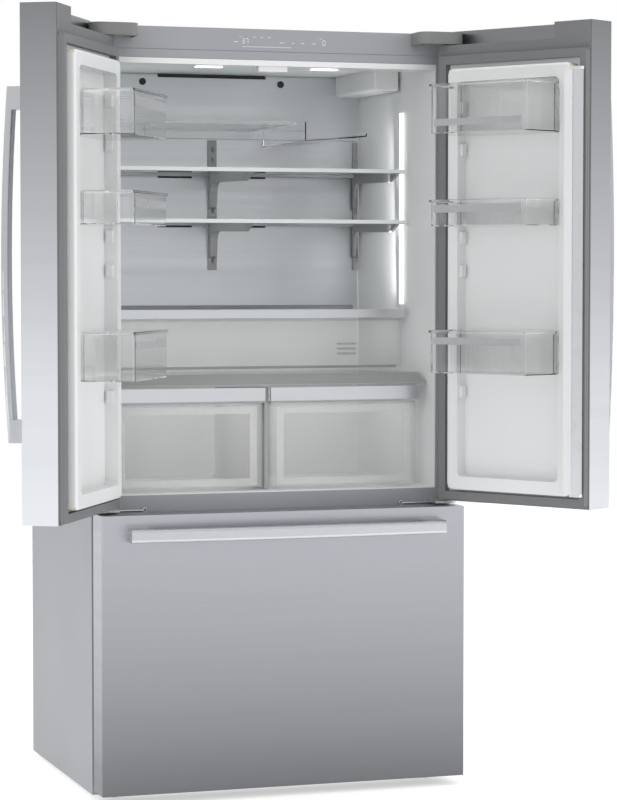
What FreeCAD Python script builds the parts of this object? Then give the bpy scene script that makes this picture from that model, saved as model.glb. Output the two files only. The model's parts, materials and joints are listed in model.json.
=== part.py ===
import FreeCAD, Part
import os
import re
import Sketcher

# A French door refrigerator: an insulated cabinet, two upper doors that swing outwards and a
# freezer drawer below them.  Millimetres, +Z up, the front faces -Y.  The origin is on the floor
# under the middle of the cabinet.  Both doors stand open at rest.

doc = FreeCAD.newDocument("french_door_refrigerator")

# ---------------------------------------------------------------- driving dimensions
DIMS = {
    # cabinet
    "case_width": 905, "case_depth": 631, "case_height": 1826, "case_lift": 12,
    "case_sheet": 1.2, "opening_wall": 40.5, "liner_wall": 2.5, "liner_draft": 10,
    "fresh_depth": 529, "ceiling_drop": 71, "lip_depth": 80, "lip_thick": 16,
    "header_depth": 45, "header_lap": 3, "freezer_top": 650, "rail_thick": 72,
    "freezer_low": 70, "freezer_depth": 480, "bay_depth": 205, "bay_top": 230,
    "base_top": 40, "corner_round": 4, "panel_inset": 4.5, "track_inset": 11.5,
    "foot_x": 395, "foot_behind": 35, "wheel_x": 402, "wheel_ahead": 70, "wheel_radius": 20,
    "inlet_x": 325, "inlet_z": 150,
    # doors
    "door_gap": 4, "door_low": 693, "door_rise": 6, "door_thick": 84, "seal_space": 17.5,
    "pivot_inset": 16.9, "pivot_ahead": 43, "door_open": 120.4, "door_sheet": 1,
    "door_round": 6, "channel_run": 345, "channel_front": 28, "channel_deep": 38,
    "seal_thick": 17, "seal_start": 16, "seal_wide": 20, "seal_free": 2.5,
    "seal_base": 2, "seal_low": 698, "seal_top_drop": 66,
    "dyke_start": 52, "dyke_end": 36.5, "dyke_wide": 32, "dyke_tall": 32, "dyke_low": 724,
    "dyke_top_drop": 98, "pin_radius": 6, "pin_play": 0.08, "pin_length": 34,
    # bins
    "bin_start": 95, "bin_end": 76.5, "bin_reach": 152, "bin_wall": 2.5, "bin_ear": 12,
    # handles
    "handle_length": 781, "handle_low": 872, "handle_inset": 42, "handle_wide": 32,
    "handle_end_reach": 39, "handle_mid_reach": 54, "handle_bar": 18, "handle_foot": 51,
    # centre bar on the right door
    "bar_long": 47, "bar_deep": 28, "bar_face": 3, "bar_inset": 32.5, "bar_stand": 17.6,
    "bar_low": 733, "bar_top_drop": 118, "bar_pivot_inset": 12.7, "bar_pivot_p": 26,
    # freezer drawer
    "drawer_low": 24, "drawer_top": 681, "drawer_handle_z": 635.5, "basket_low": 92,
    "basket_tall": 330, "basket_depth": 350, "basket_half": 374, "tray_low": 470,
    "tray_tall": 140, "tray_depth": 400, "tray_half": 386, "slide_z": 284, "slide_tall": 40,
    "slide_thick": 11, "slide_play": 0.6, "slide_length": 455,
    # fresh food fittings, as heights over the floor and depths behind the cabinet's front
    "shelf_high": 1502, "shelf_low": 1376, "half_shelf": 1617, "shelf_front": 168,
    "glass_thick": 4, "shelf_play": 5, "rack_floor": 1570, "panel_seam": 1590,
    "deli_cover": 1155, "deli_front": 180, "deli_pan_low": 1006,
    "crisper_cover": 1000, "crisper_front": 40, "crisper_pan_low": 726, "crisper_trim": 933,
    "pan_wall": 3, "pan_play": 6, "left_pan_side": 18, "right_pan_side": 29,
    "divider": 5, "divider_x": -5, "half_shelf_end": 115, "half_rim": 7, "rack_start": 138,
    "rack_end": 300, "arm_inset": 6,
}

# Places worked out from the driving dimensions; each may use those above it.
PLACES = {
    "half": "case_width / 2",
    "front": "-case_depth / 2",
    "back": "case_depth / 2",
    "inner_half": "half - case_sheet",
    "open_half": "half - opening_wall",
    "deep_half": "open_half - liner_draft",
    "fresh_floor": "freezer_top + rail_thick",
    "ceiling": "case_height - ceiling_drop",
    "lip_low": "ceiling - lip_thick",
    "header_low": "ceiling - header_lap",
    "fresh_back": "front + fresh_depth",
    "freezer_back": "front + freezer_depth",
    "bay_front": "back - bay_depth",
    "pivot_x": "half - pivot_inset",
    "pivot_y": "front - pivot_ahead",
    "skin_y": "pivot_ahead - seal_space",
    "door_width": "(case_width - door_gap) / 2",
    "door_top": "case_height + door_rise",
    "channel_floor": "door_top - channel_deep",
    "seal_top": "door_top - seal_top_drop",
    "dyke_top": "door_top - dyke_top_drop",
    "dyke_stop": "door_width - dyke_end",
    "bin_stop": "door_width - bin_end",
    "bar_start": "door_width - bar_inset",
    "bar_pivot_s": "door_width - bar_pivot_inset",
    "bar_top": "door_top - bar_top_drop",
    "drawer_front": "front - seal_space - door_thick",
    "wall_half": "deep_half - shelf_play",
    "panel_half": "deep_half - panel_inset",
    "track_x": "deep_half - track_inset",
}

dims = doc.addObject("Spreadsheet::Sheet", "dims")
places = doc.addObject("Spreadsheet::Sheet", "places")
HOME = {alias: "dims" for alias in DIMS} | {alias: "places" for alias in PLACES}


def linked(text):
    """An expression in which each name is led by the sheet that holds it."""
    return re.sub(r"[a-z][a-z_0-9]*", lambda m: f"{HOME[m[0]]}.{m[0]}" if m[0] in HOME else m[0],
                  str(text))


for row, (alias, value) in enumerate(DIMS.items(), start=1):
    dims.set(f"A{row}", alias.replace("_", " "))
    dims.set(f"B{row}", str(value))
    dims.setAlias(f"B{row}", alias)
for row, (alias, formula) in enumerate(PLACES.items(), start=1):
    text = linked(formula).replace("places.", "")
    places.set(f"A{row}", alias.replace("_", " "))
    places.set(f"B{row}", "=" + text)
    places.setAlias(f"B{row}", alias)
    doc.recompute()


def number(text):
    """The present value of an expression."""
    value = dims.evalExpression(linked(text))
    return float(getattr(value, "Value", value))


def bind(thing, links):
    for path, text in links.items():
        thing.setExpression(path, linked(text))


# ---------------------------------------------------------------- building blocks
nodes = []


def keep(thing, label):
    """Marks an object as a piece of the refrigerator, which gets a file of its own."""
    thing.Label = label
    nodes.append(thing)
    return thing


def block(name, x, y, z):
    """A box between two planes in each direction."""
    solid = doc.addObject("Part::Box", name)
    for size, base, (low, high) in zip(("Length", "Width", "Height"), "xyz", (x, y, z)):
        bind(solid, {size: f"({high}) - ({low})", f"Placement.Base.{base}": low})
    return solid


TURN = {"x": FreeCAD.Rotation(FreeCAD.Vector(0, 1, 0), 90),
        "y": FreeCAD.Rotation(FreeCAD.Vector(1, 0, 0), -90),
        "z": FreeCAD.Rotation()}


def rod(name, axis, start, radius, length):
    """A cylinder that runs from its start along an axis."""
    solid = doc.addObject("Part::Cylinder", name)
    solid.Placement.Rotation = TURN[axis]
    bind(solid, {"Radius": radius, "Height": length})
    bind(solid, {f"Placement.Base.{way}": at for way, at in zip("xyz", start)})
    return solid


def fuse(name, *parts):
    joined = doc.addObject("Part::MultiFuse", name)
    joined.Shapes = list(parts)
    joined.Refine = True
    return joined


def group(name, *parts):
    """Several separate solids of one kind, kept as one piece."""
    several = doc.addObject("Part::Compound", name)
    several.Links = list(parts)
    return several


def cut(name, base, *tools):
    result = doc.addObject("Part::Cut", name)
    result.Base = base
    result.Tool = tools[0] if len(tools) == 1 else fuse(name + "_tools", *tools)
    return result


def common(name, base, tool):
    result = doc.addObject("Part::Common", name)
    result.Base, result.Tool = base, tool
    return result


ROLE = {"xy": "XY_Plane", "xz": "XZ_Plane", "yz": "YZ_Plane"}


def origin_plane(body, plane):
    for feature in body.Origin.OriginFeatures:
        if feature.Role == ROLE[plane]:
            return feature
    raise RuntimeError(f"{body.Name} has no {plane} plane")


def prism(name, plane, points, low, high):
    """A body padded from an outline whose corners are expressions.

    plane is xy, xz or yz, and low and high are where the pad starts and ends along the plane's
    third axis.
    """
    body = doc.addObject("PartDesign::Body", name)
    sketch = body.newObject("Sketcher::SketchObject", name + "_outline")
    sketch.AttachmentSupport = (origin_plane(body, plane), [""])
    sketch.MapMode = "FlatFace"
    # the XZ plane looks along -Y, so its pads are set out from their far side
    bind(sketch, {"AttachmentOffset.Base.z": f"-({high})" if plane == "xz" else low})
    corners = [FreeCAD.Vector(number(u), number(v), 0) for u, v in points]
    for i, corner in enumerate(corners):
        sketch.addGeometry(Part.LineSegment(corner, corners[(i + 1) % len(corners)]), False)
    for i, (u, v) in enumerate(points):
        sketch.addConstraint(Sketcher.Constraint("Coincident", i, 2, (i + 1) % len(points), 1))
        for way, text in (("X", u), ("Y", v)):
            rule = Sketcher.Constraint("Distance" + way, -1, 1, i, 1, number(text))
            index = sketch.addConstraint(rule)
            sketch.renameConstraint(index, f"{way.lower()}{i}")
            bind(sketch, {f"Constraints.{way.lower()}{i}": text})
    pad = body.newObject("PartDesign::Pad", name + "_pad")
    pad.Profile = sketch
    bind(pad, {"Length": f"({high}) - ({low})"})
    sketch.Visibility = False
    return body


def runs_along(edge, way):
    """Whether a straight edge lies along an axis, given as a vector."""
    if len(edge.Vertexes) != 2 or edge.Curve.TypeId != "Part::GeomLine":
        return False
    return abs(abs(edge.tangentAt(edge.FirstParameter).dot(way)) - 1) < 1e-6


AXIS = {"x": FreeCAD.Vector(1, 0, 0), "y": FreeCAD.Vector(0, 1, 0), "z": FreeCAD.Vector(0, 0, 1)}


def soften(body, radius, chosen):
    """Rounds the edges of a body that the test chooses."""
    doc.recompute()
    tip = body.Tip
    names = [f"Edge{i}" for i, edge in enumerate(tip.Shape.Edges, start=1) if chosen(edge)]
    if not names:
        raise RuntimeError(f"{body.Name} has no such edge to round")
    fillet = body.newObject("PartDesign::Fillet", f"{body.Name}_round_{len(body.Group)}")
    fillet.Base = (tip, names)
    bind(fillet, {"Radius": radius})
    return body


def sharp(axis, where=lambda middle: True):
    """A test for edges along an axis whose middle passes another test."""
    return lambda edge: runs_along(edge, AXIS[axis]) and where(edge.CenterOfMass)


def rectangle(u0, u1, v0, v1):
    return [(u0, v0), (u1, v0), (u1, v1), (u0, v1)]


# ---------------------------------------------------------------- cabinet
def fresh_space(name, grow):
    """The fresh food space, drawn in at the back and grown by a wall on every side but the front."""
    plan = [(f"-open_half - {grow}", "front - 1"), (f"open_half + {grow}", "front - 1"),
            (f"deep_half + {grow}", f"fresh_back + {grow}"),
            (f"-deep_half - {grow}", f"fresh_back + {grow}")]
    space = prism(name, "xy", plan, f"fresh_floor - {grow}", f"ceiling + {grow}")
    soften(space, f"corner_round + {grow}", sharp("z", lambda m: m.y > 0))
    return space


def freezer_space(name, grow):
    """The freezer space, with a step over the machine bay."""
    side = [("front - 1", f"freezer_low - {grow}"),
            (f"bay_front - opening_wall + {grow}", f"freezer_low - {grow}"),
            (f"bay_front - opening_wall + {grow}", f"bay_top + opening_wall - {grow}"),
            (f"freezer_back + {grow}", f"bay_top + opening_wall - {grow}"),
            (f"freezer_back + {grow}", f"freezer_top + {grow}"),
            ("front - 1", f"freezer_top + {grow}")]
    return prism(name, "yz", side, f"-open_half - {grow}", f"open_half + {grow}")


def lip_space(name, grow):
    """What the white lip takes from the top of the fresh food space behind the header."""
    return block(name, ("-half", "half"), ("front - 2", f"front + lip_depth - {grow}"),
                 (f"lip_low + {grow}", "ceiling + 20"))


def make_case():
    outside = prism("case_outside", "xy", rectangle("-half", "half", "front", "back - case_sheet"),
                    "case_lift", "case_height")
    soften(outside, "case_sheet", sharp("z", lambda m: m.y < 0))
    hollow = block("case_hollow", ("-inner_half", "inner_half"), ("front + case_sheet", "back"),
                   ("case_lift - 1", "case_height - case_sheet"))
    header_gap = block("case_header_gap", ("-inner_half", "inner_half"), ("front - 1", "front + 5"),
                       ("header_low", "case_height - case_sheet"))
    lip_gap = block("case_lip_gap", ("-open_half - liner_wall", "open_half + liner_wall"),
                    ("front - 1", "front + 5"), ("fresh_floor - liner_wall", "header_low + 1"))
    keep(cut("outer_case", outside, hollow, header_gap, lip_gap,
             freezer_space("case_freezer_gap", "liner_wall")), "outer_case")

    slots = [block(f"back_slot_{i}", ("-half * 0.6", "half * 0.6"), ("back - 5", "back + 1"),
                   (f"80 + {i} * 18", f"88 + {i} * 18")) for i in range(7)]
    plate = block("back_plate", ("-half", "half"), ("back - case_sheet", "back"),
                  ("case_lift", "case_height"))
    inlet = rod("back_inlet", "y", ("inlet_x", "back - 5", "inlet_z"), 6.5, 10)
    keep(cut("back_panel", plate, *slots, inlet), "back_panel")

    pan = block("base_pan", ("-inner_half", "inner_half"),
                ("front + case_sheet", "back - case_sheet"), ("case_lift", "base_top"))
    hollow = block("base_hollow", ("-inner_half + 2", "inner_half - 2"), ("front + 60", "back - 20"),
                   ("case_lift + 2.5", "base_top + 1"))
    wells = [block(f"wheel_well_{i}", (f"{side} * wheel_x - 13", f"{side} * wheel_x + 13"),
                   ("back - wheel_ahead - 30", "back - wheel_ahead + 30"),
                   ("case_lift - 1", "base_top"))
             for i, side in enumerate((-1, 1))]
    bosses = [rod(f"foot_boss_{i}", "z", (f"{side} * foot_x", "front + foot_behind", "case_lift - 1"),
                  6.1, 40) for i, side in enumerate((-1, 1))]
    ears, holes = [], []
    for i, (side, way) in enumerate(((-1, -1), (-1, 1), (1, -1), (1, 1))):
        x = f"{side} * wheel_x + {way} * 16"
        ears.append(block(f"wheel_ear_{i}", (f"{x} - 3", f"{x} + 3"),
                          ("back - wheel_ahead - 12", "back - wheel_ahead + 12"),
                          ("wheel_radius / 2", "base_top")))
        holes.append(rod(f"wheel_hole_{i}", "x", (f"{x} - 5", "back - wheel_ahead", "wheel_radius"),
                         4.05, 10))
    shell = cut("base_shell", pan, hollow, *wells, *bosses)
    keep(cut("base_frame", fuse("base_with_ears", shell, *ears), *holes), "base_frame")


def make_insulation():
    """Foam that fills the cabinet between the case, the two liners and the machine bay."""
    full = block("foam_full", ("-inner_half", "inner_half"),
                 ("front + case_sheet", "back - case_sheet"),
                 ("base_top", "case_height - case_sheet"))
    bay = block("foam_bay", ("-inner_half - 1", "inner_half + 1"), ("bay_front", "back + 1"),
                ("base_top - 1", "bay_top"))
    header = block("foam_header", ("-half", "half"), ("front - 1", "front + header_depth"),
                   ("header_low", "case_height"))
    coil = block("foam_coil", ("-330", "330"), ("freezer_back + liner_wall", "freezer_back + 100"),
                 ("bay_top + 60", "freezer_top"))
    room = cut("foam_room", fresh_space("foam_fresh", "liner_wall"), lip_space("foam_lip", "0"))
    lip = block("foam_lip_seat", ("-open_half - liner_wall", "open_half + liner_wall"),
                ("front - 1", "front + lip_depth"), ("lip_low", "ceiling + liner_wall"))
    keep(cut("cabinet_foam", full, bay, header, coil, room, lip,
             freezer_space("foam_freezer", "liner_wall")), "cabinet_foam")


def make_liners():
    outside = fresh_space("fresh_outside", "liner_wall")
    inside = cut("fresh_room", fresh_space("fresh_inside", "0"), lip_space("fresh_lip", "0"))
    front = block("fresh_front", ("-half", "half"), ("front - 2", "front"), ("0", "door_top"))
    header = block("fresh_header", ("-half", "half"), ("front - 1", "front + header_depth"),
                   ("header_low", "case_height"))
    keep(cut("fresh_food_liner", outside, inside, front, header), "fresh_food_liner")

    front = block("freezer_front", ("-half", "half"), ("front - 2", "front"), ("0", "door_top"))
    grille = [block(f"freezer_slot_{i}", ("-200", "200"), ("freezer_back - 2", "freezer_back + 5"),
                    (f"420 + {i} * 22", f"430 + {i} * 22")) for i in range(5)]
    keep(cut("freezer_liner", freezer_space("freezer_outside", "liner_wall"),
             freezer_space("freezer_inside", "0"), front, *grille), "freezer_liner")


def make_header():
    """The control header over the fresh food space, with its touch strip and ceiling parts."""
    shell = prism("header_shell", "yz",
                  [("front", "header_low"), ("front + header_depth", "header_low"),
                   ("front + header_depth", "case_height - case_sheet"),
                   ("front", "case_height - case_sheet")], "-inner_half", "inner_half")
    soften(shell, "2", sharp("x", lambda m: m.z < number("case_height") - 10
                             and m.y < number("front") + 1))
    groove = block("header_groove", ("-half", "half"), ("front - 1", "front + 1.5"),
                   ("header_low + 20", "header_low + 21.5"))
    hollow = block("header_hollow", ("-inner_half + 3", "inner_half - 3"),
                   ("front + 3", "front + header_depth + 1"),
                   ("header_low + 3", "case_height - case_sheet - 3"))
    keep(cut("control_header", shell, groove, hollow), "control_header")

    guide = prism("guide_block", "xy", [("-38", "front + 6"), ("38", "front + 6"),
                                        ("30", "front + 46"), ("-30", "front + 46")],
                  "lip_low - 13", "lip_low")
    soften(guide, "4", sharp("z"))
    keep(guide, "mullion_guide")

    box = prism("filter_box", "xz", rectangle("deep_half - 66", "deep_half - 2",
                                              "ceiling - 53", "ceiling"),
                "front + 225", "fresh_back - 7.5")
    soften(box, "12", sharp("y", lambda m: m.z < number("ceiling - 10")
                            and m.x < number("deep_half - 30")))

    def on_its_nose(edge):
        middle = edge.CenterOfMass
        return (middle.y < number("front + 226") and middle.z < number("ceiling - 3")
                and middle.x < number("deep_half - 3"))

    soften(box, "5", on_its_nose)
    keep(box, "filter_housing")


def make_back_wall():
    lower = prism("lower_panel", "xz", rectangle("-panel_half", "panel_half", "deli_cover",
                                                 "panel_seam - 1"), "fresh_back - 4", "fresh_back")
    upper = prism("upper_panel", "xz", rectangle("-panel_half", "panel_half", "panel_seam",
                                                 "ceiling - 4"), "fresh_back - 7", "fresh_back")
    slots = [block(f"panel_slot_{i}", (x0, x1), ("fresh_back - 9", "fresh_back + 1"), (z0, z1))
             for i, (x0, x1, z0, z1) in enumerate(vent_boxes())]
    top = block("panel_top_slot", ("-145", "145"), ("fresh_back - 9", "fresh_back + 1"),
                ("ceiling - 10", "ceiling - 3"))
    keep(group("rear_wall_panels", cut("lower_panel_cut", lower, *slots),
               cut("upper_panel_cut", upper, top)), "rear_wall_panels")

    dark = [block(f"vent_{i}", (f"{x0} + 0.3", f"{x1} - 0.3"), ("fresh_back - 3", "fresh_back"),
                  (f"{z0} + 0.3", f"{z1} - 0.3")) for i, (x0, x1, z0, z1) in enumerate(vent_boxes())]
    dark.append(block("vent_top", ("-144", "144"), ("fresh_back - 3", "fresh_back"),
                      ("ceiling - 9.5", "ceiling - 0.5")))
    plugs = [rod(f"panel_plug_{i}", "y", (f"{side} * 185", "fresh_back - 9", "ceiling - 22"), 9, 2)
             for i, side in enumerate((-1, 1))]
    keep(group("vent_inserts", *dark, *plugs), "vent_inserts")

    tracks = []
    for i, (x, wide) in enumerate((("-track_x", 7), ("0", 11.5), ("track_x", 7))):
        strip = block(f"track_{i}", (f"{x} - {wide}", f"{x} + {wide}"),
                      ("fresh_back - 9", "fresh_back - 4"), (1253, "panel_seam - 4"))
        teeth = [block(f"track_{i}_slot_{k}", (f"{x} - 4", f"{x} + 4"),
                       ("fresh_back - 10", "fresh_back - 5"), (f"1270 + {k} * 26", f"1282 + {k} * 26"))
                 for k in range(12)]
        tracks.append(cut(f"track_{i}_cut", strip, *teeth))
    keep(group("shelf_tracks", *tracks), "shelf_tracks")


def vent_boxes():
    """Left, right, bottom and top of each air slot behind the shelves."""
    return [(x0, x1, f"{shelf} - 14", f"{shelf} - 3") for shelf in ("shelf_high", "shelf_low")
            for x0, x1 in (("-145", "-53"), ("53", "145"))]


def make_shelf(label, top):
    """A glass shelf in a light frame, carried by three arms that hook into the tracks."""
    half = "(wall_half - 1)"
    pane = block(label + "_pane", (f"-{half} + 3", f"{half} - 3"),
                 ("front + shelf_front + 6", "fresh_back - 24"), (f"{top} - glass_thick", top))
    nose = prism(label + "_nose", "yz", [("front + shelf_front", f"{top} - 9"),
                                         ("front + shelf_front + 14", f"{top} - 9"),
                                         ("front + shelf_front + 14", f"{top} - glass_thick"),
                                         ("front + shelf_front + 6", f"{top} - glass_thick"),
                                         ("front + shelf_front + 6", f"{top} + 1.5"),
                                         ("front + shelf_front", f"{top} + 1.5")],
                 f"-{half}", half)
    soften(nose, "1.5", sharp("x", lambda m: m.y < number("front + shelf_front") + 1))
    tail = block(label + "_tail", (f"-{half}", half), ("fresh_back - 24", "fresh_back - 14"),
                 (f"{top} - 9", f"{top} + 5"))
    arms = []
    for i, (x, wide) in enumerate((("-track_x + arm_inset", 4), ("0", 9),
                                  ("track_x - arm_inset", 4))):
        side = [("front + shelf_front + 14", f"{top} - glass_thick"),
                ("front + shelf_front + 14", f"{top} - glass_thick - 5"),
                ("front + shelf_front + 70", f"{top} - glass_thick - 24"),
                ("fresh_back - 29", f"{top} - glass_thick - 20"),
                ("fresh_back - 19", f"{top} - 88"), ("fresh_back - 9", f"{top} - 92"),
                ("fresh_back - 9", f"{top} - glass_thick")]
        arm = prism(f"{label}_arm_{i}", "yz", side, f"{x} - {wide}", f"{x} + {wide}")
        soften(arm, "26", sharp("x", lambda m: abs(m.y - number("fresh_back - 29")) < 1
                                and abs(m.z - number(f"{top} - glass_thick - 20")) < 1))
        arms.append(arm)
    keep(fuse(label + "_frame_body", nose, tail, *arms), label + "_frame")
    return pane


def make_half_shelf():
    left, right = "-wall_half", "half_shelf_end"
    pane = block("half_pane", (f"{left} + 4", f"{right} - 4"),
                 ("front + shelf_front + 12", "fresh_back - 12"),
                 ("half_shelf - glass_thick", "half_shelf"))
    outer = prism("half_outer", "xy", rectangle(left, right, "front + shelf_front + 6",
                                                "fresh_back - 8"),
                  "half_shelf + 0.5 - half_rim", "half_shelf + 0.5")
    soften(outer, "8", sharp("z", lambda m: m.y < 0 and m.x > 0))
    window = block("half_window", (f"{left} + 9", f"{right} - 9"),
                   ("front + shelf_front + 17", "fresh_back - 17"),
                   ("half_shelf - 20", "half_shelf + 5"))
    seat = block("half_seat", (f"{left} + 4", f"{right} - 4"),
                 ("front + shelf_front + 12", "fresh_back - 12"),
                 ("half_shelf - glass_thick", "half_shelf + 5"))
    keep(cut("half_frame_body", outer, window, seat), "half_shelf_frame")
    return pane


def make_rack():
    """A bent clear sheet that cradles bottles beside the half shelf."""
    wall = 3
    cradle = [("rack_start", "rack_floor + 48"), ("rack_start", "rack_floor"),
              ("rack_end", "rack_floor + 14"), ("rack_end + 1", "rack_floor + 22"),
              ("rack_end - 2", "rack_floor + 22"), ("rack_end - 3", f"rack_floor + 14 + {wall}"),
              (f"rack_start + {wall}", f"rack_floor + {wall}"),
              (f"rack_start + {wall}", "rack_floor + 48")]
    rack = prism("bottle_rack_sheet", "xz", cradle, "front + shelf_front + 12",
                 "fresh_back - 7")
    keep(rack, "bottle_rack")


def make_lamps():
    lamps = [block(f"side_lamp_{i}", span, ("front + 208", "front + 216"),
                   ("deli_cover + 12", "panel_seam + 56"))
             for i, span in enumerate((("-open_half + 4.5", "-deep_half + 2"),
                                       ("deep_half - 2", "open_half - 4.5")))]
    lamps += [block(f"ceiling_lamp_{i}", (f"{x} - 32", f"{x} + 32"), ("front + 46", "front + 66"),
                    ("lip_low - 3", "lip_low")) for i, x in enumerate((-146, 146))]
    keep(group("led_lamps", *lamps), "led_lamps")


def make_drawer_covers():
    half = "(wall_half - 1)"
    deli = block("deli_pane", (f"-{half}", half), ("front + deli_front + 4", "fresh_back - 5"),
                 ("deli_cover - glass_thick", "deli_cover"))
    crisper = block("crisper_pane", ("-open_half + 9", "open_half - 9"),
                    ("front + crisper_front + 62", "front + 430"),
                    ("crisper_cover - glass_thick", "crisper_cover"))
    keep(group("drawer_cover_panes", deli, crisper), "drawer_cover_panes")

    trim = prism("deli_trim_bar", "yz", [("front + deli_front - 14", "deli_cover - 21"),
                                         ("front + deli_front - 10", "deli_cover - 21"),
                                         ("front + deli_front - 10", "deli_cover - glass_thick"),
                                         ("front + deli_front + 4", "deli_cover - glass_thick"),
                                         ("front + deli_front + 4", "deli_cover + 1"),
                                         ("front + deli_front - 14", "deli_cover + 1")],
                 f"-{half}", half)
    soften(trim, "1.5", sharp("x", lambda m: m.y < number("front + deli_front - 13")))
    keep(trim, "deli_cover_trim")

    nose = prism("crisper_nose", "yz", [("front + crisper_front", "crisper_trim + 38"),
                                        ("front + crisper_front + 4", "crisper_trim + 38"),
                                        ("front + crisper_front + 62", "crisper_cover - glass_thick"),
                                        ("front + crisper_front + 62", "crisper_cover"),
                                        ("front + crisper_front + 52", "crisper_cover"),
                                        ("front + crisper_front", "crisper_trim + 44")],
                 "-open_half + 8", "open_half - 8")
    side_to_side = ("divider_x - divider", "divider_x + divider")
    post = block("crisper_post", side_to_side,
                 ("front + crisper_front + 6", "fresh_back - 60"),
                 ("fresh_floor + 0.5", "crisper_trim + 44"))
    runners = [block(f"crisper_runner_{i}", span, ("front + 80", "fresh_back - 60"),
                     ("fresh_floor + 2", "fresh_floor + 3.5"))
               for i, span in enumerate((("divider_x - divider - 14", "divider_x - divider + 1"),
                                         ("divider_x + divider - 1", "divider_x + divider + 14")))]
    crown = block("crisper_crown", side_to_side,
                  ("front + crisper_front + 56", "fresh_back - 60"),
                  ("crisper_trim + 44", "crisper_cover - glass_thick"))
    keep(fuse("crisper_frame_body", nose, post, crown, *runners), "crisper_frame")


def make_pans():
    """The pull-out pans: the full-width deli drawer and the two crispers."""
    half = "(deep_half - pan_play)"
    deli = open_pan("deli_pan", (f"-{half}", half), ("front + deli_front", "fresh_back - 22"),
                    ("deli_pan_low", "deli_cover - 23"), "pan_wall", 14)
    keep(deli, "deli_drawer_pan")

    for side, span in (("left", ("-open_half + left_pan_side", "divider_x - divider - 2")),
                       ("right", ("divider_x + divider + 2", "open_half - right_pan_side"))):
        pan = open_pan(f"{side}_crisper", span,
                       ("front + crisper_front", "front + crisper_front + 380"),
                       ("crisper_pan_low", "crisper_trim - 1"), "pan_wall", 16)
        keep(pan, f"{side}_crisper_pan")
        grip = prism(f"{side}_crisper_bar", "yz",
                     [("front + crisper_front - 8", "crisper_trim + 4"),
                      ("front + crisper_front - 3", "crisper_trim - 1"),
                      ("front + crisper_front + 14", "crisper_trim - 1"),
                      ("front + crisper_front + 14", "crisper_trim + 2"),
                      ("front + crisper_front - 1", "crisper_trim + 2"),
                      ("front + crisper_front - 3", "crisper_trim + 36"),
                      ("front + crisper_front - 8", "crisper_trim + 36")], *span)
        keep(grip, f"{side}_crisper_grip")


def open_pan(name, x, y, z, wall, round_by):
    """A pan with rounded upright corners, open at the top."""
    outer = prism(name + "_outer", "xy", rectangle(*x, *y), *z)
    soften(outer, str(round_by), sharp("z"))
    inner = prism(name + "_inner", "xy",
                  rectangle(f"{x[0]} + {wall}", f"{x[1]} - {wall}", f"{y[0]} + {wall}",
                            f"{y[1]} - {wall}"), f"{z[0]} + {wall}", f"{z[1]} + 5")
    soften(inner, f"{round_by} - {wall}", sharp("z"))
    return cut(name + "_pan", outer, inner)


# ---------------------------------------------------------------- hinges
def make_hinges():
    plates, covers = [], []
    for side, k in (("left", 1), ("right", -1)):
        def over(a, b):
            """From a to b inwards of the pivot on this side."""
            low, high = f"-pivot_x + {a}", f"-pivot_x + {b}"
            return (low, high) if k > 0 else (f"pivot_x - ({b})", f"pivot_x - ({a})")
        x = f"{-k} * pivot_x"
        arm = block(f"{side}_top_arm", over(-8, 60), ("pivot_y", "front"),
                    ("channel_floor + 4", "channel_floor + 9"))
        eye = rod(f"{side}_top_eye", "z", (x, "pivot_y", "channel_floor + 4"), 15, 5)
        tab = block(f"{side}_top_tab", over(-8, 60), ("front - 4", "front"),
                    ("channel_floor + 4", "channel_floor + 26"))
        pin = rod(f"{side}_top_pin", "z", (x, "pivot_y", "channel_floor + 4 - pin_length"),
                  "pin_radius", "pin_length + 2")
        plates.append(fuse(f"{side}_top_hinge", arm, eye, tab, pin))
        arm = block(f"{side}_low_arm", over(-8, 40), ("pivot_y - 8", "front"),
                    ("door_low - 8", "door_low - 3"))
        eye = rod(f"{side}_low_eye", "z", (x, "pivot_y", "door_low - 8"), 15, 5)
        tab = block(f"{side}_low_tab", over(-8, 40), ("front - 3", "front"),
                    ("drawer_top + 2", "door_low + 3"))
        pin = rod(f"{side}_low_pin", "z", (x, "pivot_y", "door_low - 4"), "pin_radius",
                  "pin_length + 4")
        plates.append(fuse(f"{side}_low_hinge", arm, eye, tab, pin))

        roof = [rod(f"{side}_cover_nose", "z", (x, "pivot_y", "channel_floor + 3"), 29,
                    "case_height - channel_floor - 3"),
                block(f"{side}_cover_rear", over(-8, 86), ("pivot_y", "front"),
                      ("channel_floor + 3", "case_height"))]
        ahead = prism(f"{side}_cover_front", "xy",
                      rectangle(*over(0, 86), "pivot_y - 29", "pivot_y + 1"),
                      "channel_floor + 3", "case_height")
        soften(ahead, "24", sharp("z", lambda m: abs(m.x) < number("pivot_x") - 40
                                  and m.y < number("pivot_y") - 20))
        room = [rod(f"{side}_room_nose", "z", (x, "pivot_y", "channel_floor"), 26.5, 26),
                block(f"{side}_room_rear", over(-11, 83), ("pivot_y", "front + 1"),
                      ("channel_floor", "channel_floor + 27"))]
        covers.append(cut(f"{side}_cover", fuse(f"{side}_cover_full", ahead, *roof), *room))
    keep(group("door_hinges", *plates), "door_hinges")
    keep(group("hinge_covers", *covers), "hinge_covers")


# ---------------------------------------------------------------- doors
def stand_at_pivot(thing, k):
    """Turns a door piece, drawn about its hinge axis, to where the open door holds it."""
    thing.Placement.Rotation = FreeCAD.Rotation(FreeCAD.Vector(0, 0, 1), 1)
    bind(thing, {"Placement.Base.x": f"{-k} * pivot_x", "Placement.Base.y": "pivot_y",
                 "Placement.Rotation.Angle": "door_open"})
    thing.Placement.Rotation.Axis = FreeCAD.Vector(0, 0, -k)
    return thing


# middle heights of the lugs on a door's liner that bins can hang on
LUG_HEIGHTS = (960, 1250, 1330, 1540, 1640)


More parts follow.
